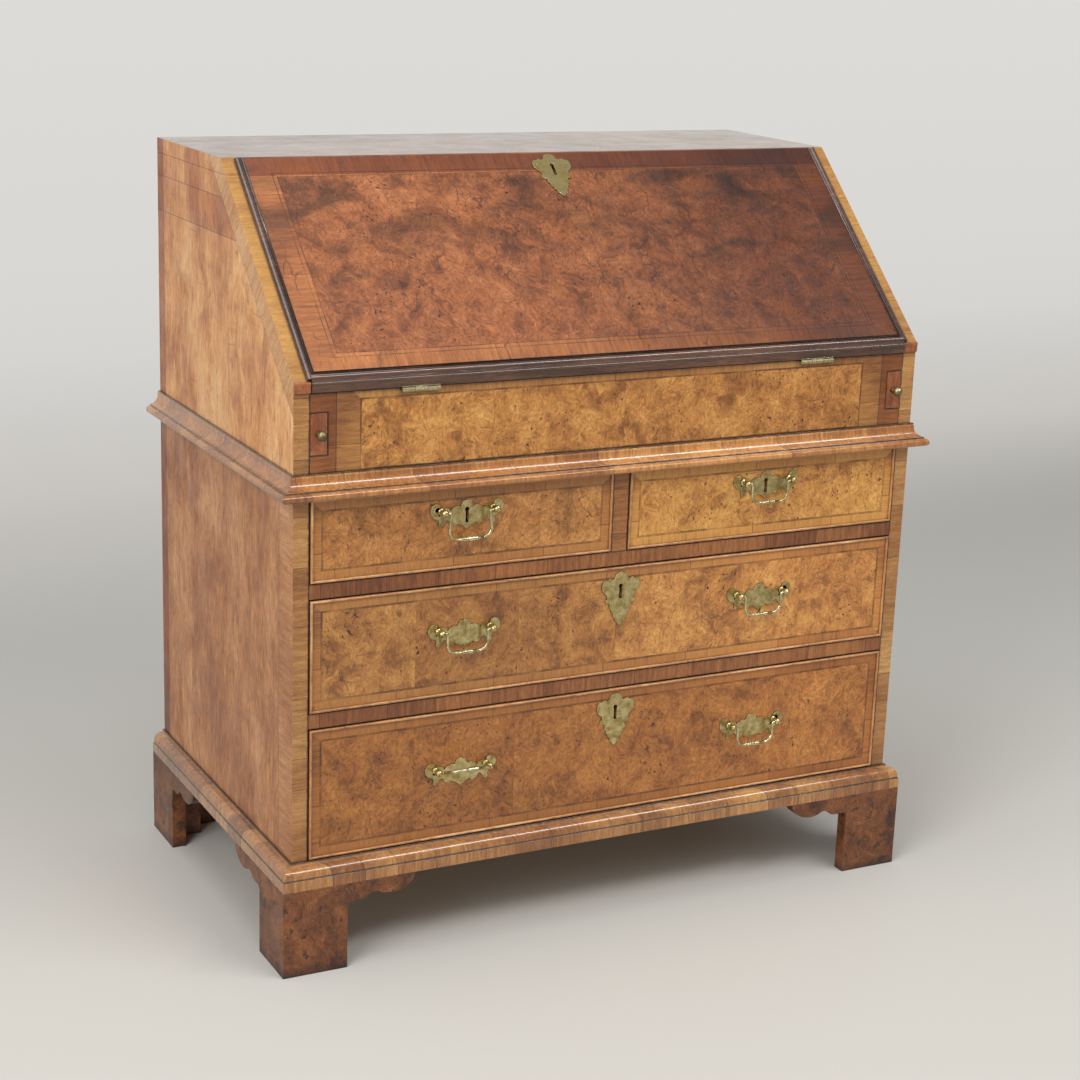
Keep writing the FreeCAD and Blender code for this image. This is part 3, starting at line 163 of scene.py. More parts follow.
def calc(tree, operation, *numbers):
    """A sum of one or two numbers."""
    return add(tree, "Math", dict(enumerate(numbers)), operation=operation)


def apart(tree, number, level):
    """How far a number is from a level."""
    return calc(tree, "ABSOLUTE", calc(tree, "SUBTRACT", number, level))


def fit(tree, value, start=0, stop=1, low=0, high=1):
    """A value's way from start to stop, as one from low to high, held there at both ends."""
    return add(tree, "MapRange", {"Value": value, "From Min": start, "From Max": stop,
                                  "To Min": low, "To Max": high})


def mix(tree, first, second, share, **kind):
    """The first colour, turned into the second by a share. Each is a link or an sRGB hex code."""
    first, second = (linear(c) if isinstance(c, str) else c for c in (first, second))
    return add(tree, "Mix", {"Factor": share, "A": first, "B": second}, data_type="RGBA", **kind)


def darken(tree, colour, by, share):
    """A colour multiplied by another, by a share."""
    return mix(tree, colour, by, share, blend_type="MULTIPLY")


def between(tree, first, second, share):
    """The first number, turned into the second by a share."""
    return add(tree, "Mix", {"Factor": share, "A": first, "B": second}, data_type="FLOAT")


def object_place(tree):
    """A point's place in metres, in the frame that all pieces share."""
    return add(tree, "TexCoord").node.outputs["Object"]


def own_place(tree, centre, turn):
    """A point's place counted from a centre, in a plane that is turned about X."""
    return add(tree, "Mapping", {"Vector": object_place(tree), "Location": centre,
                                 "Rotation": (turn, 0, 0)}, vector_type="TEXTURE")


def parts_of(tree, place):
    """The three numbers of a place."""
    return add(tree, "SeparateXYZ", {0: place}).node.outputs


def shifted(tree, place, move):
    return add(tree, "VectorMath", {0: place, 1: move}, operation="ADD")


def scaled(tree, vector, factor):
    return add(tree, "VectorMath", {0: vector, "Scale": factor}, operation="SCALE")


def far_along(tree, place, direction):
    """How far a place lies along a direction."""
    dot = add(tree, "VectorMath", {0: place, 1: direction}, operation="DOT_PRODUCT")
    return dot.node.outputs["Value"]


def noise(tree, place, size, detail, slant=0, **more):
    """Noise whose clouds have a size in millimetres: one for all axes, or one for each.

    Slant turns it about X, where each axis has a size of its own.
    """
    scale = 1
    if isinstance(size, (tuple, list)):
        sizes = [per_metre(length) for length in size]
        place = add(tree, "Mapping", {"Vector": place, "Rotation": (slant, 0, 0), "Scale": sizes})
    else:
        scale = per_metre(size)
    return add(tree, "TexNoise", {"Vector": place, "Scale": scale, "Detail": detail, **more})


def bend(tree, place, size, detail, reach, centre=0.5):
    """A place moved by coloured noise, so that the pattern that reads it is bent."""
    move = noise(tree, place, size, detail).node.outputs["Color"]
    if centre:
        move = shifted(tree, move, (-centre,) * 3)
    return shifted(tree, place, scaled(tree, move, reach))


def flecks(tree, place, colour, stretch, depth):
    """The light and dark flecks, a few millimetres long, that make a figured veneer look crisp."""
    fleck = noise(tree, place, stretch, 4, Roughness=0.75)
    fleck = fit(tree, fleck, 0.3, 0.7, 0.5 - depth, 0.5 + depth)
    return mix(tree, colour, fleck, 1, blend_type="OVERLAY")


def grain(tree, place, stretch, tones, pores=0.55):
    """Walnut's grain: soft streaks of three tones, with the short dark pores that lie in them.

    Stretch is how long a streak is along each axis, in millimetres. Tones run from dark to pale.
    """
    dark, middle, pale = tones
    streak = noise(tree, place, stretch, 6, Roughness=0.62, Distortion=0.5)
    cloud = noise(tree, place, 150, 3)
    tone = calc(tree, "ADD", streak, cloud)
    low = fit(tree, tone, 0.7, 1.0)
    high = fit(tree, tone, 0.98, 1.3)
    colour = mix(tree, dark, middle, low)
    colour = mix(tree, colour, pale, high)
    colour = flecks(tree, place, colour, [length / 7 for length in stretch], 0.2)
    pore = noise(tree, place, [length / 6 for length in stretch], 3, Roughness=0.7)
    pore = fit(tree, pore, 0.56, 0.7, high=pores)
    return darken(tree, colour, "7A5030", pore), pore


def patches(tree, along, length, joint=0.5):
    """A band laid in short pieces: a random number for each, and the dark joints between them."""
    cell = {"W": along, "Scale": per_metre(length)}
    tint = add(tree, "TexVoronoi", cell, voronoi_dimensions="1D").node.outputs["Color"]
    tint = add(tree, "SeparateColor", {0: tint})
    edge = add(tree, "TexVoronoi", cell, voronoi_dimensions="1D", feature="DISTANCE_TO_EDGE")
    edge = fit(tree, edge, joint / length, 0.2 * joint / length)
    return tint, edge


def cracks(tree, place, wide, long, half, least):
    """Fine cracks in old polish: the bent outlines of cells, of which a mask leaves a part.

    Wide and long are the size of a cell and half a share of it. Least is where the mask starts.
    """
    bent = bend(tree, place, 36, 2, 0.03)
    sizes = (per_metre(wide), per_metre(long), per_metre(wide))
    sized = add(tree, "Mapping", {"Vector": bent, "Scale": sizes})
    edge = add(tree, "TexVoronoi", {"Vector": sized, "Scale": 1}, feature="DISTANCE_TO_EDGE")
    crack = fit(tree, edge, half, half * 0.3)
    where = noise(tree, place, 58, 3)
    where = fit(tree, where, least, least + 0.12, high=0.6)
    return calc(tree, "MULTIPLY", crack, where)


def burr(tree, place, tones, seed, marks=1):
    """Burr walnut: a mottle of curling fibres, pin knots in clusters, dark swirls and fine cracks.

    Marks is how strongly the knots and cracks show.
    """
    dark, middle, pale = tones
    place = shifted(tree, place, (seed, seed * 0.37, seed * 0.71))
    bent = bend(tree, place, 48, 3, 0.05)
    mottle = noise(tree, bent, 26, 8, Roughness=0.7, Distortion=0.5)
    cloud = noise(tree, place, 62, 6, Roughness=0.6, Distortion=0.8)
    tone = calc(tree, "ADD", mottle, cloud)
    low = fit(tree, tone, 0.8, 1.0)
    high = fit(tree, tone, 1.0, 1.26)
    colour = mix(tree, dark, middle, low)
    colour = mix(tree, colour, pale, high)
    colour = flecks(tree, bent, colour, (4, 5, 4), 0.26)
    # Fibres 2 mm wide that curl with the mottle.
    fibre = noise(tree, bent, (2.2, 14, 14), 4, Roughness=0.65)
    fibre = fit(tree, fibre, 0.5, 0.7, high=0.36)
    colour = darken(tree, colour, "8F6238", fibre)
    # Pin knots, each about 1.5 mm, in clusters.
    knot = add(tree, "TexVoronoi", {"Vector": bent, "Scale": per_metre(7)})
    knot = fit(tree, knot, 0.25, 0.14)
    cluster = noise(tree, place, 38, 2)
    cluster = fit(tree, cluster, 0.5, 0.62)
    knot = calc(tree, "MULTIPLY", knot, cluster)
    # Dark swirls, about 12 mm across and far apart.
    swirl = add(tree, "TexVoronoi", {"Vector": bent, "Scale": per_metre(88)})
    ragged = fit(tree, mottle, 0.62, 0.4, 0.6, 3)
    swirl = calc(tree, "MULTIPLY", swirl, ragged)
    swirl = fit(tree, swirl, 0.12, 0.04, high=0.6)
    crack = cracks(tree, place, 30, 44, 0.014, 0.5)
    mark = calc(tree, "MAXIMUM", knot, swirl)
    mark = calc(tree, "MAXIMUM", mark, crack)
    mark = calc(tree, "MULTIPLY", mark, marks)
    return darken(tree, colour, "54341E", mark), mark


def polish(tree, colour, height, roughness=0.36, relief=0.0002, coat=0.3, glaze=0.16):
    """Old shellac over wood: a satin skin, rubbed unevenly, with painted shade in each corner
    that stands also for old soiling.
    """
    place = object_place(tree)
    rubbed = noise(tree, place, 45, 5)
    rough = fit(tree, rubbed, 0.3, 0.7, roughness - 0.07, roughness + 0.09)
    wave = noise(tree, place, 18, 4)
    sunk = calc(tree, "SUBTRACT", wave, height)
    bump = add(tree, "Bump", {"Height": sunk, "Strength": 1, "Distance": relief})
    # Painted shade: darker where ambient occlusion finds other surfaces within 7 mm, in corners and
    # quirks; it stands also for old soiling there.
    open_sky = add(tree, "AmbientOcclusion", {"Distance": 7 * MM}, samples=4).node.outputs["AO"]
    corner_shade_and_grime = fit(tree, open_sky, 0.62, 0.25, high=0.95)
    colour = darken(tree, colour, "2C1A10", corner_shade_and_grime)
    shader = add(tree, "BsdfPrincipled", {"Base Color": colour, "Roughness": rough, "Normal": bump,
                                          "IOR": 1.5, "Coat Weight": coat, "Coat Roughness": glaze})
    add(tree, "OutputMaterial", {"Surface": shader})


def long_grain(name, stretch, tones, **skin):
    """Plain wood whose grain runs along its longest stretch."""
    material, tree = new_material(name)
    place = object_place(tree)
    colour, pores = grain(tree, place, stretch, tones)
    polish(tree, colour, pores, **skin)
    return material


def shade_and_dirt_lines(tree, place, gaps):
    """Painted shade, standing also for old soiling: a ragged dark line beside a gap or in a quirk.

    Each gap is an axis, a place on it and a half width.
    """
    parts = parts_of(tree, place)
    ragged = noise(tree, place, 9, 3)
    ragged = fit(tree, ragged, 0.3, 0.7, 0.6, 1.3)
    shade_and_dirt = None
    for axis, level, half in gaps:
        off = apart(tree, parts[axis], level)
        off = calc(tree, "DIVIDE", off, ragged)
        near = fit(tree, off, half, half * 0.4, high=0.92)
        shade_and_dirt = near if shade_and_dirt is None else calc(tree, "MAXIMUM", shade_and_dirt, near)
    return shade_and_dirt


def cross_band(name, stretch, tones, length, slant=(1, 1, 0), gaps=(), **skin):
    """Veneer laid in short pieces side by side along a rail or a moulding, with its grain across.

    Slant says which way the pieces follow one another. Gaps are where a dark line of painted
    shade lies, standing also for old soiling.
    """
    material, tree = new_material(name)
    place = object_place(tree)
    along = far_along(tree, place, slant)
    tint, joint = patches(tree, along, length)
    own = shifted(tree, place, add(tree, "CombineXYZ", {2: tint}))
    colour, pores = grain(tree, own, stretch, tones)
    tint = fit(tree, tint, high=0.6)
    colour = darken(tree, colour, "B98C64", tint)
    split, fine = patches(tree, along, length / 4, 0.35)
    split = fit(tree, split, 0.55, 0.7, high=0.7)
    fine = calc(tree, "MULTIPLY", fine, split)
    line = calc(tree, "MAXIMUM", joint, fine)
    colour = darken(tree, colour, "5A3822", line)
    # Painted shade: a dark line beside each gap and in each quirk, standing also for old soiling.
    if gaps:
        shade_and_dirt = shade_and_dirt_lines(tree, place, gaps)
        colour = mix(tree, colour, SHADE_AND_DIRT, shade_and_dirt)
        line = calc(tree, "MAXIMUM", line, shade_and_dirt)
    height = calc(tree, "MAXIMUM", pores, line)
    polish(tree, colour, height, **skin)
    return material


def framed_burr(name, box, turn, borders, string, tones, edge_tones, seed, leaf,
                ends=(WHITE, WHITE)):
    """A front's veneers: a burr field in matched leaves, a string line and a cross-banded border.

    Box is the panel's corners, and turn the angle at which it stands. Borders are the border's
    widths at the sides, along the bottom and along the top. String is the width of the line inside
    it, leaf that of one leaf of burr. Ends are painted shade: what the left and the right end are
    darkened by, as if less light fell there.
    """
    material, tree = new_material(name)
    low, high = (Vector(corner) for corner in box)
    size = high - low
    half_width = size.x / 2
    half_height = (size.z if turn == UPRIGHT else math.hypot(size.y, size.z)) / 2
    place = own_place(tree, (low + high) / 2, turn)
    across, along, _ = parts_of(tree, place)
    at_side = calc(tree, "ABSOLUTE", across)
    at_side = calc(tree, "SUBTRACT", half_width - borders[0], at_side)
    at_low = calc(tree, "ADD", along, half_height - borders[1])
    at_top = calc(tree, "SUBTRACT", half_height - borders[2], along)
    at_end = calc(tree, "MINIMUM", at_low, at_top)
    inside = calc(tree, "MINIMUM", at_side, at_end)
    upright = calc(tree, "LESS_THAN", at_side, at_end)

    # The field: leaves of burr side by side, each with a figure and a tone of its own.
    number = calc(tree, "DIVIDE", across, leaf)
    number = calc(tree, "FLOOR", number)
    number = calc(tree, "ADD", number, seed)
    chance = add(tree, "TexWhiteNoise", {"W": number}, noise_dimensions="1D").node.outputs
    own = scaled(tree, chance["Color"], 0.02)
    field_place = shifted(tree, place, own)
    field, marks = burr(tree, field_place, tones, seed)
    leaf_tone = fit(tree, chance["Value"], high=0.32)
    field = darken(tree, field, "B08258", leaf_tone)
    seam = calc(tree, "ADD", across, leaf / 2)
    seam = calc(tree, "PINGPONG", seam, leaf / 2)
    seam = calc(tree, "SUBTRACT", leaf / 2, seam)
    seam = fit(tree, seam, 0.6 * MM, 0.2 * MM, high=0.25)
    field = darken(tree, field, "6A4228", seam)

    # The border: short grain that runs in from the edge, in pieces.
    along_edge = between(tree, across, along, upright)
    edge_place = add(tree, "CombineXYZ", {0: along_edge, 1: inside, 2: upright})
    edge, pores = grain(tree, edge_place, (5, 70, 400), edge_tones, 0.4)
    tint, joint = patches(tree, along_edge, 130)
    tint = fit(tree, tint, high=0.4)
    edge = darken(tree, edge, "B48860", tint)
    edge = darken(tree, edge, "6A4428", joint)

    # The string line, between two hairlines of dark glue.
    fold = apart(tree, inside, string / 2)
    in_string = calc(tree, "LESS_THAN", fold, string / 2)
    in_edge = calc(tree, "LESS_THAN", inside, 0)
    colour = mix(tree, field, edge, in_edge)
    colour = mix(tree, colour, edge, in_string)
    line = apart(tree, fold, string / 2)
    worn = noise(tree, place, 25, 4)
    worn = fit(tree, worn, 0.35, 0.6, 0.25, 0.8)
    line = fit(tree, line, 0.9 * MM, 0.3 * MM, high=worn)
    colour = darken(tree, colour, "4E2E1A", line)
    # Painted shade across the width: each end darkened by its colour in ends, as if less light fell
    # there.
    reach = fit(tree, across, -half_width * 0.3, half_width * 0.6)
    colour = darken(tree, colour, mix(tree, *ends, reach), 1)
    height = between(tree, marks, pores, in_edge)
    height = calc(tree, "MAXIMUM", height, line)
    return material, tree, place, colour, height


def drawer_veneer(name, box, tones, seed, leaf, left_end_shade):
    """A drawer front's veneer, darker at its left end by painted shade, with a border 15 mm wide.
    """
    edge_tones = (tones[0], tones[1], tones[1])
    made = framed_burr(name, box, UPRIGHT, (15 * MM,) * 3, 1.4 * MM, tones, edge_tones, seed, leaf,
                       (left_end_shade, WHITE))
    material, tree, _, colour, height = made
    polish(tree, colour, height)
    return material


def fascia_veneer(name, box):
    """The board under the fall: yellow burr, an upright band at each end, and painted shade round
    the slots and under its top edge.
    """
    made = framed_burr(name, box, UPRIGHT, (66 * MM, 0, 10 * MM), 1 * MM,
                       ("8F5A29", "BC813F", "D39C55"), ("80502A", "A26E38", "B88648"), 3.1, 0.19)
    material, tree, _, colour, height = made
    parts = parts_of(tree, object_place(tree))
    aside = calc(tree, "ABSOLUTE", parts["X"])
    folded = add(tree, "CombineXYZ", {0: aside, 1: parts["Y"], 2: parts["Z"]})
    end = fit(tree, aside, FASCIA_BURR_END, FASCIA_BURR_END + 0.5 * MM, high=0.7)
    colour = darken(tree, colour, "CCA07A", end)
    # Painted shade: a dark rim round each loper slot and a dark line under the top edge, below the
    # fall. The line where the burr meets each end band is a dark joint.
    across, upright = (
        calc(tree, "SUBTRACT", apart(tree, number, (start + stop) / 2), (stop - start) / 2)
        for number, (start, stop) in ((aside, SLOT_ASIDE), (parts["Z"], SLOT_UP)))
    off = calc(tree, "MAXIMUM", across, upright)
    slot = fit(tree, off, 2.2 * MM, 0.8 * MM, high=0.9)
    shade_and_dirt = shade_and_dirt_lines(tree, folded, ((0, FASCIA_BURR_END, 0.7 * MM), (2, FASCIA_TOP, 1.6 * MM)))
    shade_and_dirt = calc(tree, "MAXIMUM", shade_and_dirt, slot)
    colour = mix(tree, colour, SHADE_AND_DIRT, shade_and_dirt)
    polish(tree, colour, height)
    return material


def fall_veneer(name, box):
    """The fall: dark burr in two leaves, with smoky clouds under its top and long wavy cracks."""
    field_top = 143 * MM
    # The last colour below darkens the right end: painted shade, as if less light fell there.
    made = framed_burr(name, box, SLOPE, (38 * MM, 38 * MM, 36 * MM), 6 * MM,
                       ("6E3C1E", "985A31", "B47344"), ("78441F", "9E5F31", "B8763E"), 5.3, 0.438,
                       (WHITE, "A68D6C"))
    material, tree, place, colour, height = made
    along = parts_of(tree, place)["Y"]
    smoke = noise(tree, place, (130, 60, 60), 6, Distortion=0.7)
    upper = fit(tree, along, -60 * MM, 120 * MM, high=0.2)
    smoke = calc(tree, "ADD", smoke, upper)
    smoke = fit(tree, smoke, 0.63, 0.8, high=0.75)
    field = fit(tree, along, field_top, field_top - 7 * MM)
    smoke = calc(tree, "MULTIPLY", smoke, field)
    colour = darken(tree, colour, "7C7458", smoke)
    crack = cracks(tree, place, 48, 240, 0.014, 0.47)
    crack = calc(tree, "MULTIPLY", crack, field)
    colour = darken(tree, colour, "5E3C2A", crack)
    at_top = fit(tree, along, field_top, field_top + 2 * MM, high=0.8)
    colour = darken(tree, colour, "A4785C", at_top)
    height = calc(tree, "MAXIMUM", height, crack)
    polish(tree, colour, height, 0.46, 0.00012, 0.05, 0.3)
    return material


def top_patches(tree, deep, up, colour, joint):
    """Two rows of patches under the desk's top, over a side's colour and its joints."""
    row, low_row = (fit(tree, up, level, level + 0.1 * MM) for level in TOP_ROWS)
    near, near_joint = patches(tree, deep, 42)
    far, far_joint = patches(tree, calc(tree, "ADD", deep, 0.31), 120)
    patch = fit(tree, between(tree, far, near, row), high=0.6)
    colour = darken(tree, colour, "D09C70", calc(tree, "MULTIPLY", patch, low_row))
    joint = between(tree, joint, between(tree, far_joint, near_joint, row), low_row)
    for level in TOP_ROWS:
        seam = fit(tree, apart(tree, up, level), 0.7 * MM, 0.2 * MM, high=0.8)
        joint = calc(tree, "MAXIMUM", joint, seam)
    return colour, joint


def side_veneer(name, tones, top_rows):
    """A side's veneers: upright leaves between a band along the front and a strip at the back.

    With rows at the top it is the desk's side: two rows of patches under the top, and a cross band
    down the sloping edge.
    """
    material, tree = new_material(name)
    place = object_place(tree)
    parts = parts_of(tree, place)
    deep, up = parts["Y"], parts["Z"]
    wavy = bend(tree, place, 210, 3, 0.05, centre=0)
    colour, pores = grain(tree, wavy, (34, 34, 150), tones)
    blotch = noise(tree, wavy, 52, 7, Roughness=0.65)
    colour = darken(tree, colour, "B8865A", fit(tree, blotch, 0.5, 0.72, high=0.6))
    split = noise(tree, wavy, (1000, 70, 2.4), 3)
    colour = darken(tree, colour, "7A4E30", fit(tree, split, 0.68, 0.74, high=0.5))
    tint, joint = patches(tree, deep, 175)
    joint = calc(tree, "MULTIPLY", joint, 0.5)
    colour = darken(tree, colour, "C09A78", fit(tree, tint, high=0.35))
    if top_rows:
        colour, joint = top_patches(tree, deep, up, colour, joint)
        # How far a point lies behind the sloping edge, and along it.
        rise, run = math.sin(SLOPE), math.cos(SLOPE)
        foot = SLOPE_FOOT[0] * rise - SLOPE_FOOT[1] * run
        behind = calc(tree, "SUBTRACT", far_along(tree, place, (0, rise, -run)), foot)
        rising = far_along(tree, place, (0, run, rise))
        sloped = add(tree, "CombineXYZ", {0: behind, 1: rising})
        band, _ = grain(tree, sloped, (70, 5, 50), ("A26736", "C18B54", "D7AE7C"), 0.7)
        in_band = calc(tree, "LESS_THAN", behind, SLOPE_BAND)
        line = apart(tree, behind, SLOPE_BAND)
        joint = calc(tree, "MULTIPLY", joint, calc(tree, "SUBTRACT", 1, in_band))
    else:
        band, _ = grain(tree, place, (60, 60, 7), tones, 0.5)
        in_band = calc(tree, "LESS_THAN", deep, CHEST_BAND_BACK)
        line = apart(tree, deep, CHEST_BAND_BACK)
    colour = mix(tree, colour, band, in_band)
    line = fit(tree, line, 0.7 * MM, 0.2 * MM, high=0.7)
    joint = calc(tree, "MAXIMUM", joint, line)
    colour = darken(tree, colour, "B4825C", fit(tree, deep, *BACK_STRIP, high=0.7))
    colour = darken(tree, colour, "5E3C26", joint)
    # Scratches, long and pale, that wear has left.
    scratch = noise(tree, place, (1000, 90, 1.6), 2, slant=0.5)
    colour = mix(tree, colour, "D8B890", fit(tree, scratch, 0.76, 0.8, high=0.35))
    height = calc(tree, "MAXIMUM", pores, joint)
    polish(tree, colour, height, 0.4, 0.0002, 0.12)
    return material


def foot_burr(name):
    """The feet: dark reddish burr, scuffed, with a few deep chips filled with black."""
    material, tree = new_material(name)
    place = object_place(tree)
    colour, marks = burr(tree, place, ("46250C", "6E3D1A", "8C5428"), 8.2, 0.6)
    chip = noise(tree, place, 17, 5, Roughness=0.6)
    chip = fit(tree, chip, 0.61, 0.64, high=0.85)
    colour = mix(tree, colour, "2E2018", chip)
    # Darker towards the floor, over the lowest 16 mm.
    low = parts_of(tree, place)["Z"]
    low = fit(tree, low, 16 * MM, 0, high=0.7)
    colour = darken(tree, colour, "6E5848", low)
    height = calc(tree, "MAXIMUM", marks, chip)
    polish(tree, colour, height, 0.44, 0.0004, 0.15, 0.25)
    return material


def aged_brass(name, pale, stained, rough_low=0.26):
    """Cast brass, filed and handled for long: bright where rubbed, green-brown in its hollows."""
    material, tree = new_material(name)
    place = object_place(tree)
    stain = noise(tree, place, 11, 6, Roughness=0.7)
    stain = fit(tree, stain, 0.4, 0.64)
    hollow = add(tree, "AmbientOcclusion", {"Distance": 5 * MM}, samples=4).node.outputs["AO"]
    hollow = fit(tree, hollow, 0.8, 0.35, high=0.9)
    colour = mix(tree, pale, stained, stain)
    colour = darken(tree, colour, "3A2E18", hollow)
    cast = noise(tree, place, 3.5, 5)
    rough = fit(tree, stain, low=rough_low, high=rough_low + 0.18)
    bump = add(tree, "Bump", {"Height": cast, "Strength": 1, "Distance": 0.15 * MM})
    shader = add(tree, "BsdfPrincipled", {"Base Color": colour, "Metallic": 1, "Roughness": rough,
                                          "Normal": bump})
    add(tree, "OutputMaterial", {"Surface": shader})
    return material


def forged_steel(name):
    """Forged steel, grey and a little rusty."""
    material, tree = new_material(name)
    place = object_place(tree)
    rust = noise(tree, place, 10, 6)
    rust = fit(tree, rust, 0.5, 0.7)
    colour = mix(tree, "8C8880", "5C4636", rust)
    rough = fit(tree, rust, low=0.35, high=0.7)
    shader = add(tree, "BsdfPrincipled", {"Base Color": colour, "Metallic": 1, "Roughness": rough})
    add(tree, "OutputMaterial", {"Surface": shader})
    return material


# Pieces.

def only(piece):
    """Selects this object and nothing else."""
    bpy.ops.object.select_all(action="DESELECT")
    piece.select_set(True)
    bpy.context.view_layer.objects.active = piece


def finish(piece, *materials):
    """Gives a piece these materials, one to a slot."""
    piece.data.materials.clear()
    for material in materials:
        piece.data.materials.append(material)


def copied(node, whole=True):
    """A copy of a CAD node with its points merged and, if whole, each flat face in one."""
    source = frame["nodes"][node]
    only(source)
    bpy.ops.object.duplicate()
    piece = bpy.context.view_layer.objects.active
    piece.name = node + "_dressed"
    piece.parent = None
    del piece["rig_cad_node"]
    bpy.ops.object.mode_set(mode="EDIT")
    bpy.ops.mesh.select_all(action="SELECT")
    bpy.ops.mesh.remove_doubles(threshold=0.005 * MM)
    if whole:
        bpy.ops.mesh.dissolve_limited(angle_limit=math.radians(0.3))
    bpy.ops.object.mode_set(mode="OBJECT")
    return piece


def ease(piece, width, clamp=True):
    """Softly rounds a piece's arrises, as long use leaves them."""
    only(piece)
    bevel = piece.modifiers.new("eased", "BEVEL")
    bevel.width = width
    bevel.segments = 2
    bevel.limit_method = "ANGLE"
    bevel.angle_limit = math.radians(32)
    bevel.use_clamp_overlap = clamp
    bpy.ops.object.modifier_apply(modifier=bevel.name)


def settle(piece, node, crisp=38, weighted=True):
    """Gives a finished copy its smooth shading, and lets it stand for its node.

    Weighted, a flat face stays flat up to the round of its edge.
    """
    only(piece)
    bpy.ops.object.shade_smooth_by_angle(angle=math.radians(crisp))
    if weighted:
        flat = piece.modifiers.new("flat_faces_stay_flat", "WEIGHTED_NORMAL")
        flat.weight = 100
        flat.keep_sharp = True
        bpy.ops.object.modifier_apply(modifier=flat.name)
    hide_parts(node)
    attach(piece, frame["nodes"][node]["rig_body"])


def eased(node, material, width):
    """A node's copy with rounded arrises, in one material."""
    piece = copied(node)
    ease(piece, width)
    finish(piece, material)
    settle(piece, node)


def faced(piece, slot, test):
    """Gives a slot's material to the faces whose middle and normal pass a test."""
    for face in piece.data.polygons:
        if test(face.center, face.normal):
            face.material_index = slot


def plates(node, material):
    """The flat brasses of a node and the turned parts on them, with eased edges."""
    piece = copied(node, False)
    ease(piece, 0.3 * MM, clamp=False)
    finish(piece, material)
    settle(piece, node, 50)


def casting(node, material):
    """A bail or a knob, whose facets are shaded as the round form that they stand for."""
    piece = copied(node, False)
    finish(piece, material)
    settle(piece, node, 60, False)


def paper():
    """Pale paper, lit by the lamps near the bureau. Further back it glows for the camera and in
    reflections only: painted light, which makes it as bright as the far side of a lit studio.
    """
    material, tree = new_material("pale_paper_sweep")
    back = parts_of(tree, object_place(tree))["Y"]
    floor = mix(tree, "C6C4BE", "C4C2BD", fit(tree, back, -0.6, 1.2))
    lit = add(tree, "BsdfPrincipled", {"Base Color": floor, "Roughness": 0.62})
    # Painted light: further back the paper glows, brighter back and up, seen by the camera and in
    # reflections only.
    glow = mix(tree, "C5C2BD", "D6D4D1", fit(tree, back, *GLOW_RISES))
    glow = mix(tree, glow, "DEDDDA", fit(tree, back, *GLOW_TOPS))
    glow = add(tree, "Emission", {"Color": glow, "Strength": 1})
    rays = add(tree, "LightPath").node.outputs
    seen = calc(tree, "MAXIMUM", rays["Is Camera Ray"], rays["Is Glossy Ray"])
    seen = calc(tree, "MAXIMUM", seen, rays["Is Transmission Ray"])
    start, full = GLOW_STARTS
    behind = add(tree, "MapRange", {"Value": back, "From Min": start, "From Max": full},
                 interpolation_type="SMOOTHSTEP")
    seen = calc(tree, "MULTIPLY", seen, behind)
    shader = add(tree, "MixShader", {0: seen, 1: lit, 2: glow})
    add(tree, "OutputMaterial", {"Surface": shader})
    return material


def stage():
    """A seamless sweep: a floor whose far edge is drawn up into a backdrop."""
    bpy.ops.object.select_all(action="DESELECT")
    bpy.ops.mesh.primitive_plane_add(size=SWEEP_SIZE, location=(0, 0, 0))
    sweep = bpy.context.object
    sweep.name = "paper_sweep"
    bpy.ops.object.mode_set(mode="EDIT")
    bpy.ops.mesh.select_all(action="DESELECT")
    bpy.ops.object.mode_set(mode="OBJECT")
    for edge in sweep.data.edges:
        edge.select = all(sweep.data.vertices[v].co.y > SWEEP_SIZE / 2 - 0.1 for v in edge.vertices)
    bpy.ops.object.mode_set(mode="EDIT")
    bpy.ops.mesh.select_mode(type="EDGE")
    bpy.ops.mesh.extrude_region_move(TRANSFORM_OT_translate={"value": (0, 0, SWEEP_HEIGHT)})
    bpy.ops.object.mode_set(mode="OBJECT")
    bevel = sweep.modifiers.new("curve", "BEVEL")
    bevel.width = SWEEP_BEND
    bevel.segments = 24
    bpy.ops.object.modifier_apply(modifier=bevel.name)
    bpy.ops.object.shade_smooth()
    finish(sweep, paper())


def light():
    """A broad soft light from the left, a strip from the right, one overhead, and a pale sky."""
    for name, place, width, depth, power in LAMPS:
        bpy.ops.object.light_add(type="AREA", location=place)
        lamp = bpy.context.object
        lamp.name = name + "_light"
        lamp.data.shape = "RECTANGLE"
        lamp.data.size = width
        lamp.data.size_y = depth
        lamp.data.energy = power
        lamp.rotation_euler = (LAMP_TARGET - Vector(place)).to_track_quat("-Z", "Y").to_euler()

    world = bpy.data.worlds.new("studio")
    bpy.context.scene.world = world
    world.use_nodes = True
    sky = world.node_tree
    sky.nodes.clear()
    shader = add(sky, "Background", {"Color": linear("E4E4E2"), "Strength": 0.55})
    add(sky, "OutputWorld", {"Surface": shader})


def camera():
    """The photograph's own angle on the bureau."""
    bpy.ops.object.camera_add()
    viewer = bpy.context.object
    viewer.data.lens = CAMERA_LENS
    viewer.data.sensor_width = SENSOR_WIDTH
    turn = (Matrix.Rotation(math.radians(CAMERA_AZIMUTH), 4, "Z")
            @ Matrix.Rotation(math.radians(90 - CAMERA_ELEVATION), 4, "X")
            @ Matrix.Rotation(math.radians(CAMERA_ROLL), 4, "Z"))
    viewer.matrix_world = Matrix.Translation(CAMERA_PLACE) @ turn
    bpy.context.scene.camera = viewer


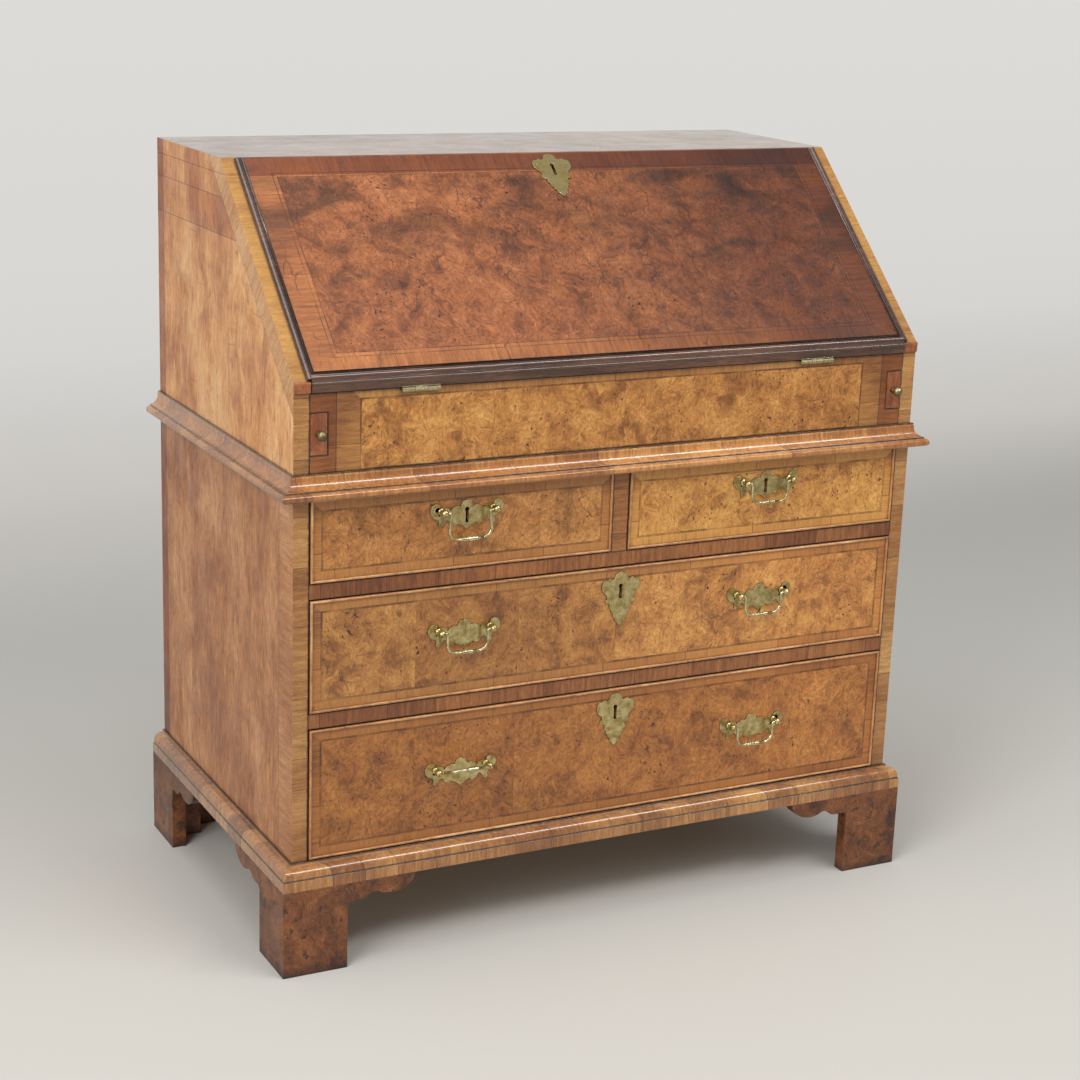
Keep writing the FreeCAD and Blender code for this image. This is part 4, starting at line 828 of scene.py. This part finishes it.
# Each drawer front's tones, seed, width of a leaf, and the painted shade that darkens its left end.
FRONTS = {
    "upper_left": (("8A5828", "B0763A", "C88E4C"), 1.3, 0.106, WHITE),
    "upper_right": (("A26A2E", "CC9247", "E1AB5C"), 4.1, 0.141, WHITE),
    "middle": (("975F2D", "C58542", "E2A558"), 7.7, 0.146, "D8D8D8"),
    "bottom": (("864E1F", "AE6E30", "C8863E"), 11.9, 0.146, "EAEAEA"),
}


def band_materials():
    """The cross bands of the sloping edge, stiles, rails, upright, and waist and base mouldings."""
    straw = cross_band("straw_cross_band", (60, 4, 4), ("865828", "AA7838", "BE9048"), 400,
                       (0, 0.7, 0.7))
    # The gaps draw lines of painted shade beside the drawer openings and in the mouldings' quirks.
    stile = cross_band("stile_cross_band", (60, 60, 5), ("8D6031", "B4834A", "D1A567"), 75,
                       (0, 0, 1), ((0, DRAWER_GAP, 2.4 * MM), (0, -DRAWER_GAP, 2.8 * MM)))
    rail = cross_band("rail_cross_band", (5, 60, 60), ("683818", "90582A", "B0743C"), 85,
                      gaps=[(2, level, 1.7 * MM) for level in RAIL_EDGES])
    muntin = cross_band("muntin_cross_band", (60, 60, 5), ("74441F", "9C6634", "B8824C"), 60,
                        (0, 0, 1), ((0, MUNTIN_HALF, 2 * MM), (0, -MUNTIN_HALF, 2 * MM)))
    gloss = {"roughness": 0.24, "coat": 0.8, "glaze": 0.1}
    waist, base = (
        cross_band(name, (5, 5, 70), tones, length,
                   gaps=((2, quirks[0], 1.5 * MM), (2, quirks[1], 1.6 * MM)), **gloss)
        for name, tones, length, quirks in (
            ("waist_cross_grain", ("845026", "B67A3C", "D69C58"), 70, WAIST_QUIRKS),
            ("base_cross_grain", ("764820", "A67038", "C69252"), 52, BASE_QUIRKS)))
    return straw, stile, rail, muntin, waist, base


def dress_front(name, bead, brass):
    """A drawer front in burr veneer with its cock beads, and the brasses on it."""
    tones, seed, leaf, left_end_shade = FRONTS[name]
    low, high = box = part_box(name + "_drawer_front")
    veneer = drawer_veneer(name + "_front_veneer", box, tones, seed, leaf, left_end_shade)
    piece = copied(name + "_drawer_front", False)
    finish(piece, veneer, bead)
    faced(piece, 1, lambda at, _: at.y < low.y + BEAD_DEPTH and min(
        at.x - low.x, high.x - at.x, at.z - low.z, high.z - at.z) < BEAD_WIDTH)
    settle(piece, name + "_drawer_front")
    plates(name + "_drawer_brasses", brass)


def dress_top(top, desk_side, straw):
    """The top board, whose ends continue the sides' veneers."""
    piece = copied("desk_top")
    ease(piece, 0.8 * MM)
    for side in (-SIDE_INNER_FACE, SIDE_INNER_FACE):
        only(piece)
        bpy.ops.object.mode_set(mode="EDIT")
        bpy.ops.mesh.select_all(action="SELECT")
        bpy.ops.mesh.bisect(plane_co=(side, 0, 0), plane_no=(1, 0, 0))
        bpy.ops.object.mode_set(mode="OBJECT")
    finish(piece, top, desk_side, straw)
    faced(piece, 1, lambda _, facing: abs(facing.x) > 0.8)
    faced(piece, 2, lambda at, facing: facing.y < -0.4 and abs(at.x) > DRAWER_GAP)
    settle(piece, "desk_top")


def dress():
    """Makes the materials, gives each CAD node its own, and puts the dressed copies in place."""
    brass = aged_brass("aged_cast_brass", "CCBA88", "98844A")
    worn_brass = aged_brass("rubbed_brass", "D6CCA8", "A89C6C", 0.2)
    dull_brass = aged_brass("dull_brass", "A89C78", "6E6244", 0.36)
    steel = forged_steel("forged_steel")
    desk_side = side_veneer("desk_side_veneer", ("B3703A", "D6985A", "EEBE84"), True)
    chest_side = side_veneer("chest_side_veneer", ("8E542D", "B07443", "CB9563"), False)
    straw, stile, rail, muntin, waist, base = band_materials()
    bead = long_grain("cock_bead_walnut", (90, 9, 90), ("8E5A30", "B47C48", "D0A06C"),
                      roughness=0.26, coat=0.6, glaze=0.12)
    fall_bead = long_grain("dark_bead_walnut", (120, 12, 12), ("2A1A12", "4A2E20", "6A4632"),
                           roughness=0.22, coat=0.8, glaze=0.1)
    foot = foot_burr("scuffed_foot_burr")
    top = long_grain("polished_top_walnut", (260, 20, 20), ("5A3A28", "7C5640", "946C54"),
                     roughness=0.2, coat=0.55, glaze=0.1)
    reddish = long_grain("reddish_end_grain", (9, 9, 30), ("6E3A20", "92522E", "AA6A40"))
    oak = long_grain("oiled_oak", (200, 14, 14), ("7E5A34", "A47C4C", "BE9660"),
                     roughness=0.5, coat=0)
    pine = long_grain("planed_pine", (18, 18, 260), ("8E6A42", "B08A5C", "C6A478"),
                      roughness=0.6, coat=0)
    inside = long_grain("satin_interior_walnut", (180, 16, 16), ("86562F", "A87444", "C08E5C"))
    finishes = {"walnut": inside, "burr_walnut": rail, "cross_walnut": rail,
                "dark_walnut": fall_bead, "oak": oak, "pine": pine, "brass": brass, "steel": steel}
    for row in frame["record"]["subparts"]:
        finish(frame["nodes"][row["node"]], finishes[row["material_slot"]])

    for name in FRONTS:
        dress_front(name, bead, brass)
    eased("front_fascia", fascia_veneer("fascia_veneer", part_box("front_fascia")), 0.6 * MM)
    piece = copied("fall_panel", False)
    finish(piece, fall_veneer("fall_burr_veneer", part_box("fall_panel")))
    settle(piece, "fall_panel")
    eased("waist_moulding", waist, 0.5 * MM)
    eased("base_moulding", base, 0.5 * MM)
    eased("fall_moulding", fall_bead, 0.3 * MM)
    eased("arris_mouldings", reddish, 0.3 * MM)
    for side in ("left", "right"):
        piece = copied("desk_side_" + side)
        ease(piece, 0.8 * MM)
        finish(piece, desk_side, stile, straw)
        faced(piece, 1, lambda _, facing: facing.y < -0.8)
        faced(piece, 2, lambda _, facing: facing.y < -0.4 and facing.z > 0.4)
        settle(piece, "desk_side_" + side)
        piece = copied("chest_side_" + side)
        ease(piece, 0.8 * MM)
        finish(piece, chest_side, stile)
        faced(piece, 1, lambda _, facing: facing.y < -0.7)
        settle(piece, "chest_side_" + side)
        eased("foot_front_" + side, foot, 0.9 * MM)
        finish(frame["nodes"]["foot_rear_" + side], foot)
        eased("loper_" + side, reddish, 0.6 * MM)
        casting("loper_knob_" + side, dull_brass)
        for level in ("upper", "middle", "bottom"):
            casting(f"{level}_{side}_bail", worn_brass)
    dress_top(top, desk_side, straw)
    eased("drawer_dividers", rail, 0.6 * MM)
    eased("drawer_muntin", muntin, 0.6 * MM)
    plates("fall_escutcheon", brass)
    eased("case_hinge_leaves", worn_brass, 0.2 * MM)
    eased("fall_hinge_leaves", worn_brass, 0.2 * MM)


camera()
stage()
light()
dress()
bpy.context.scene.view_settings.view_transform = "Standard"
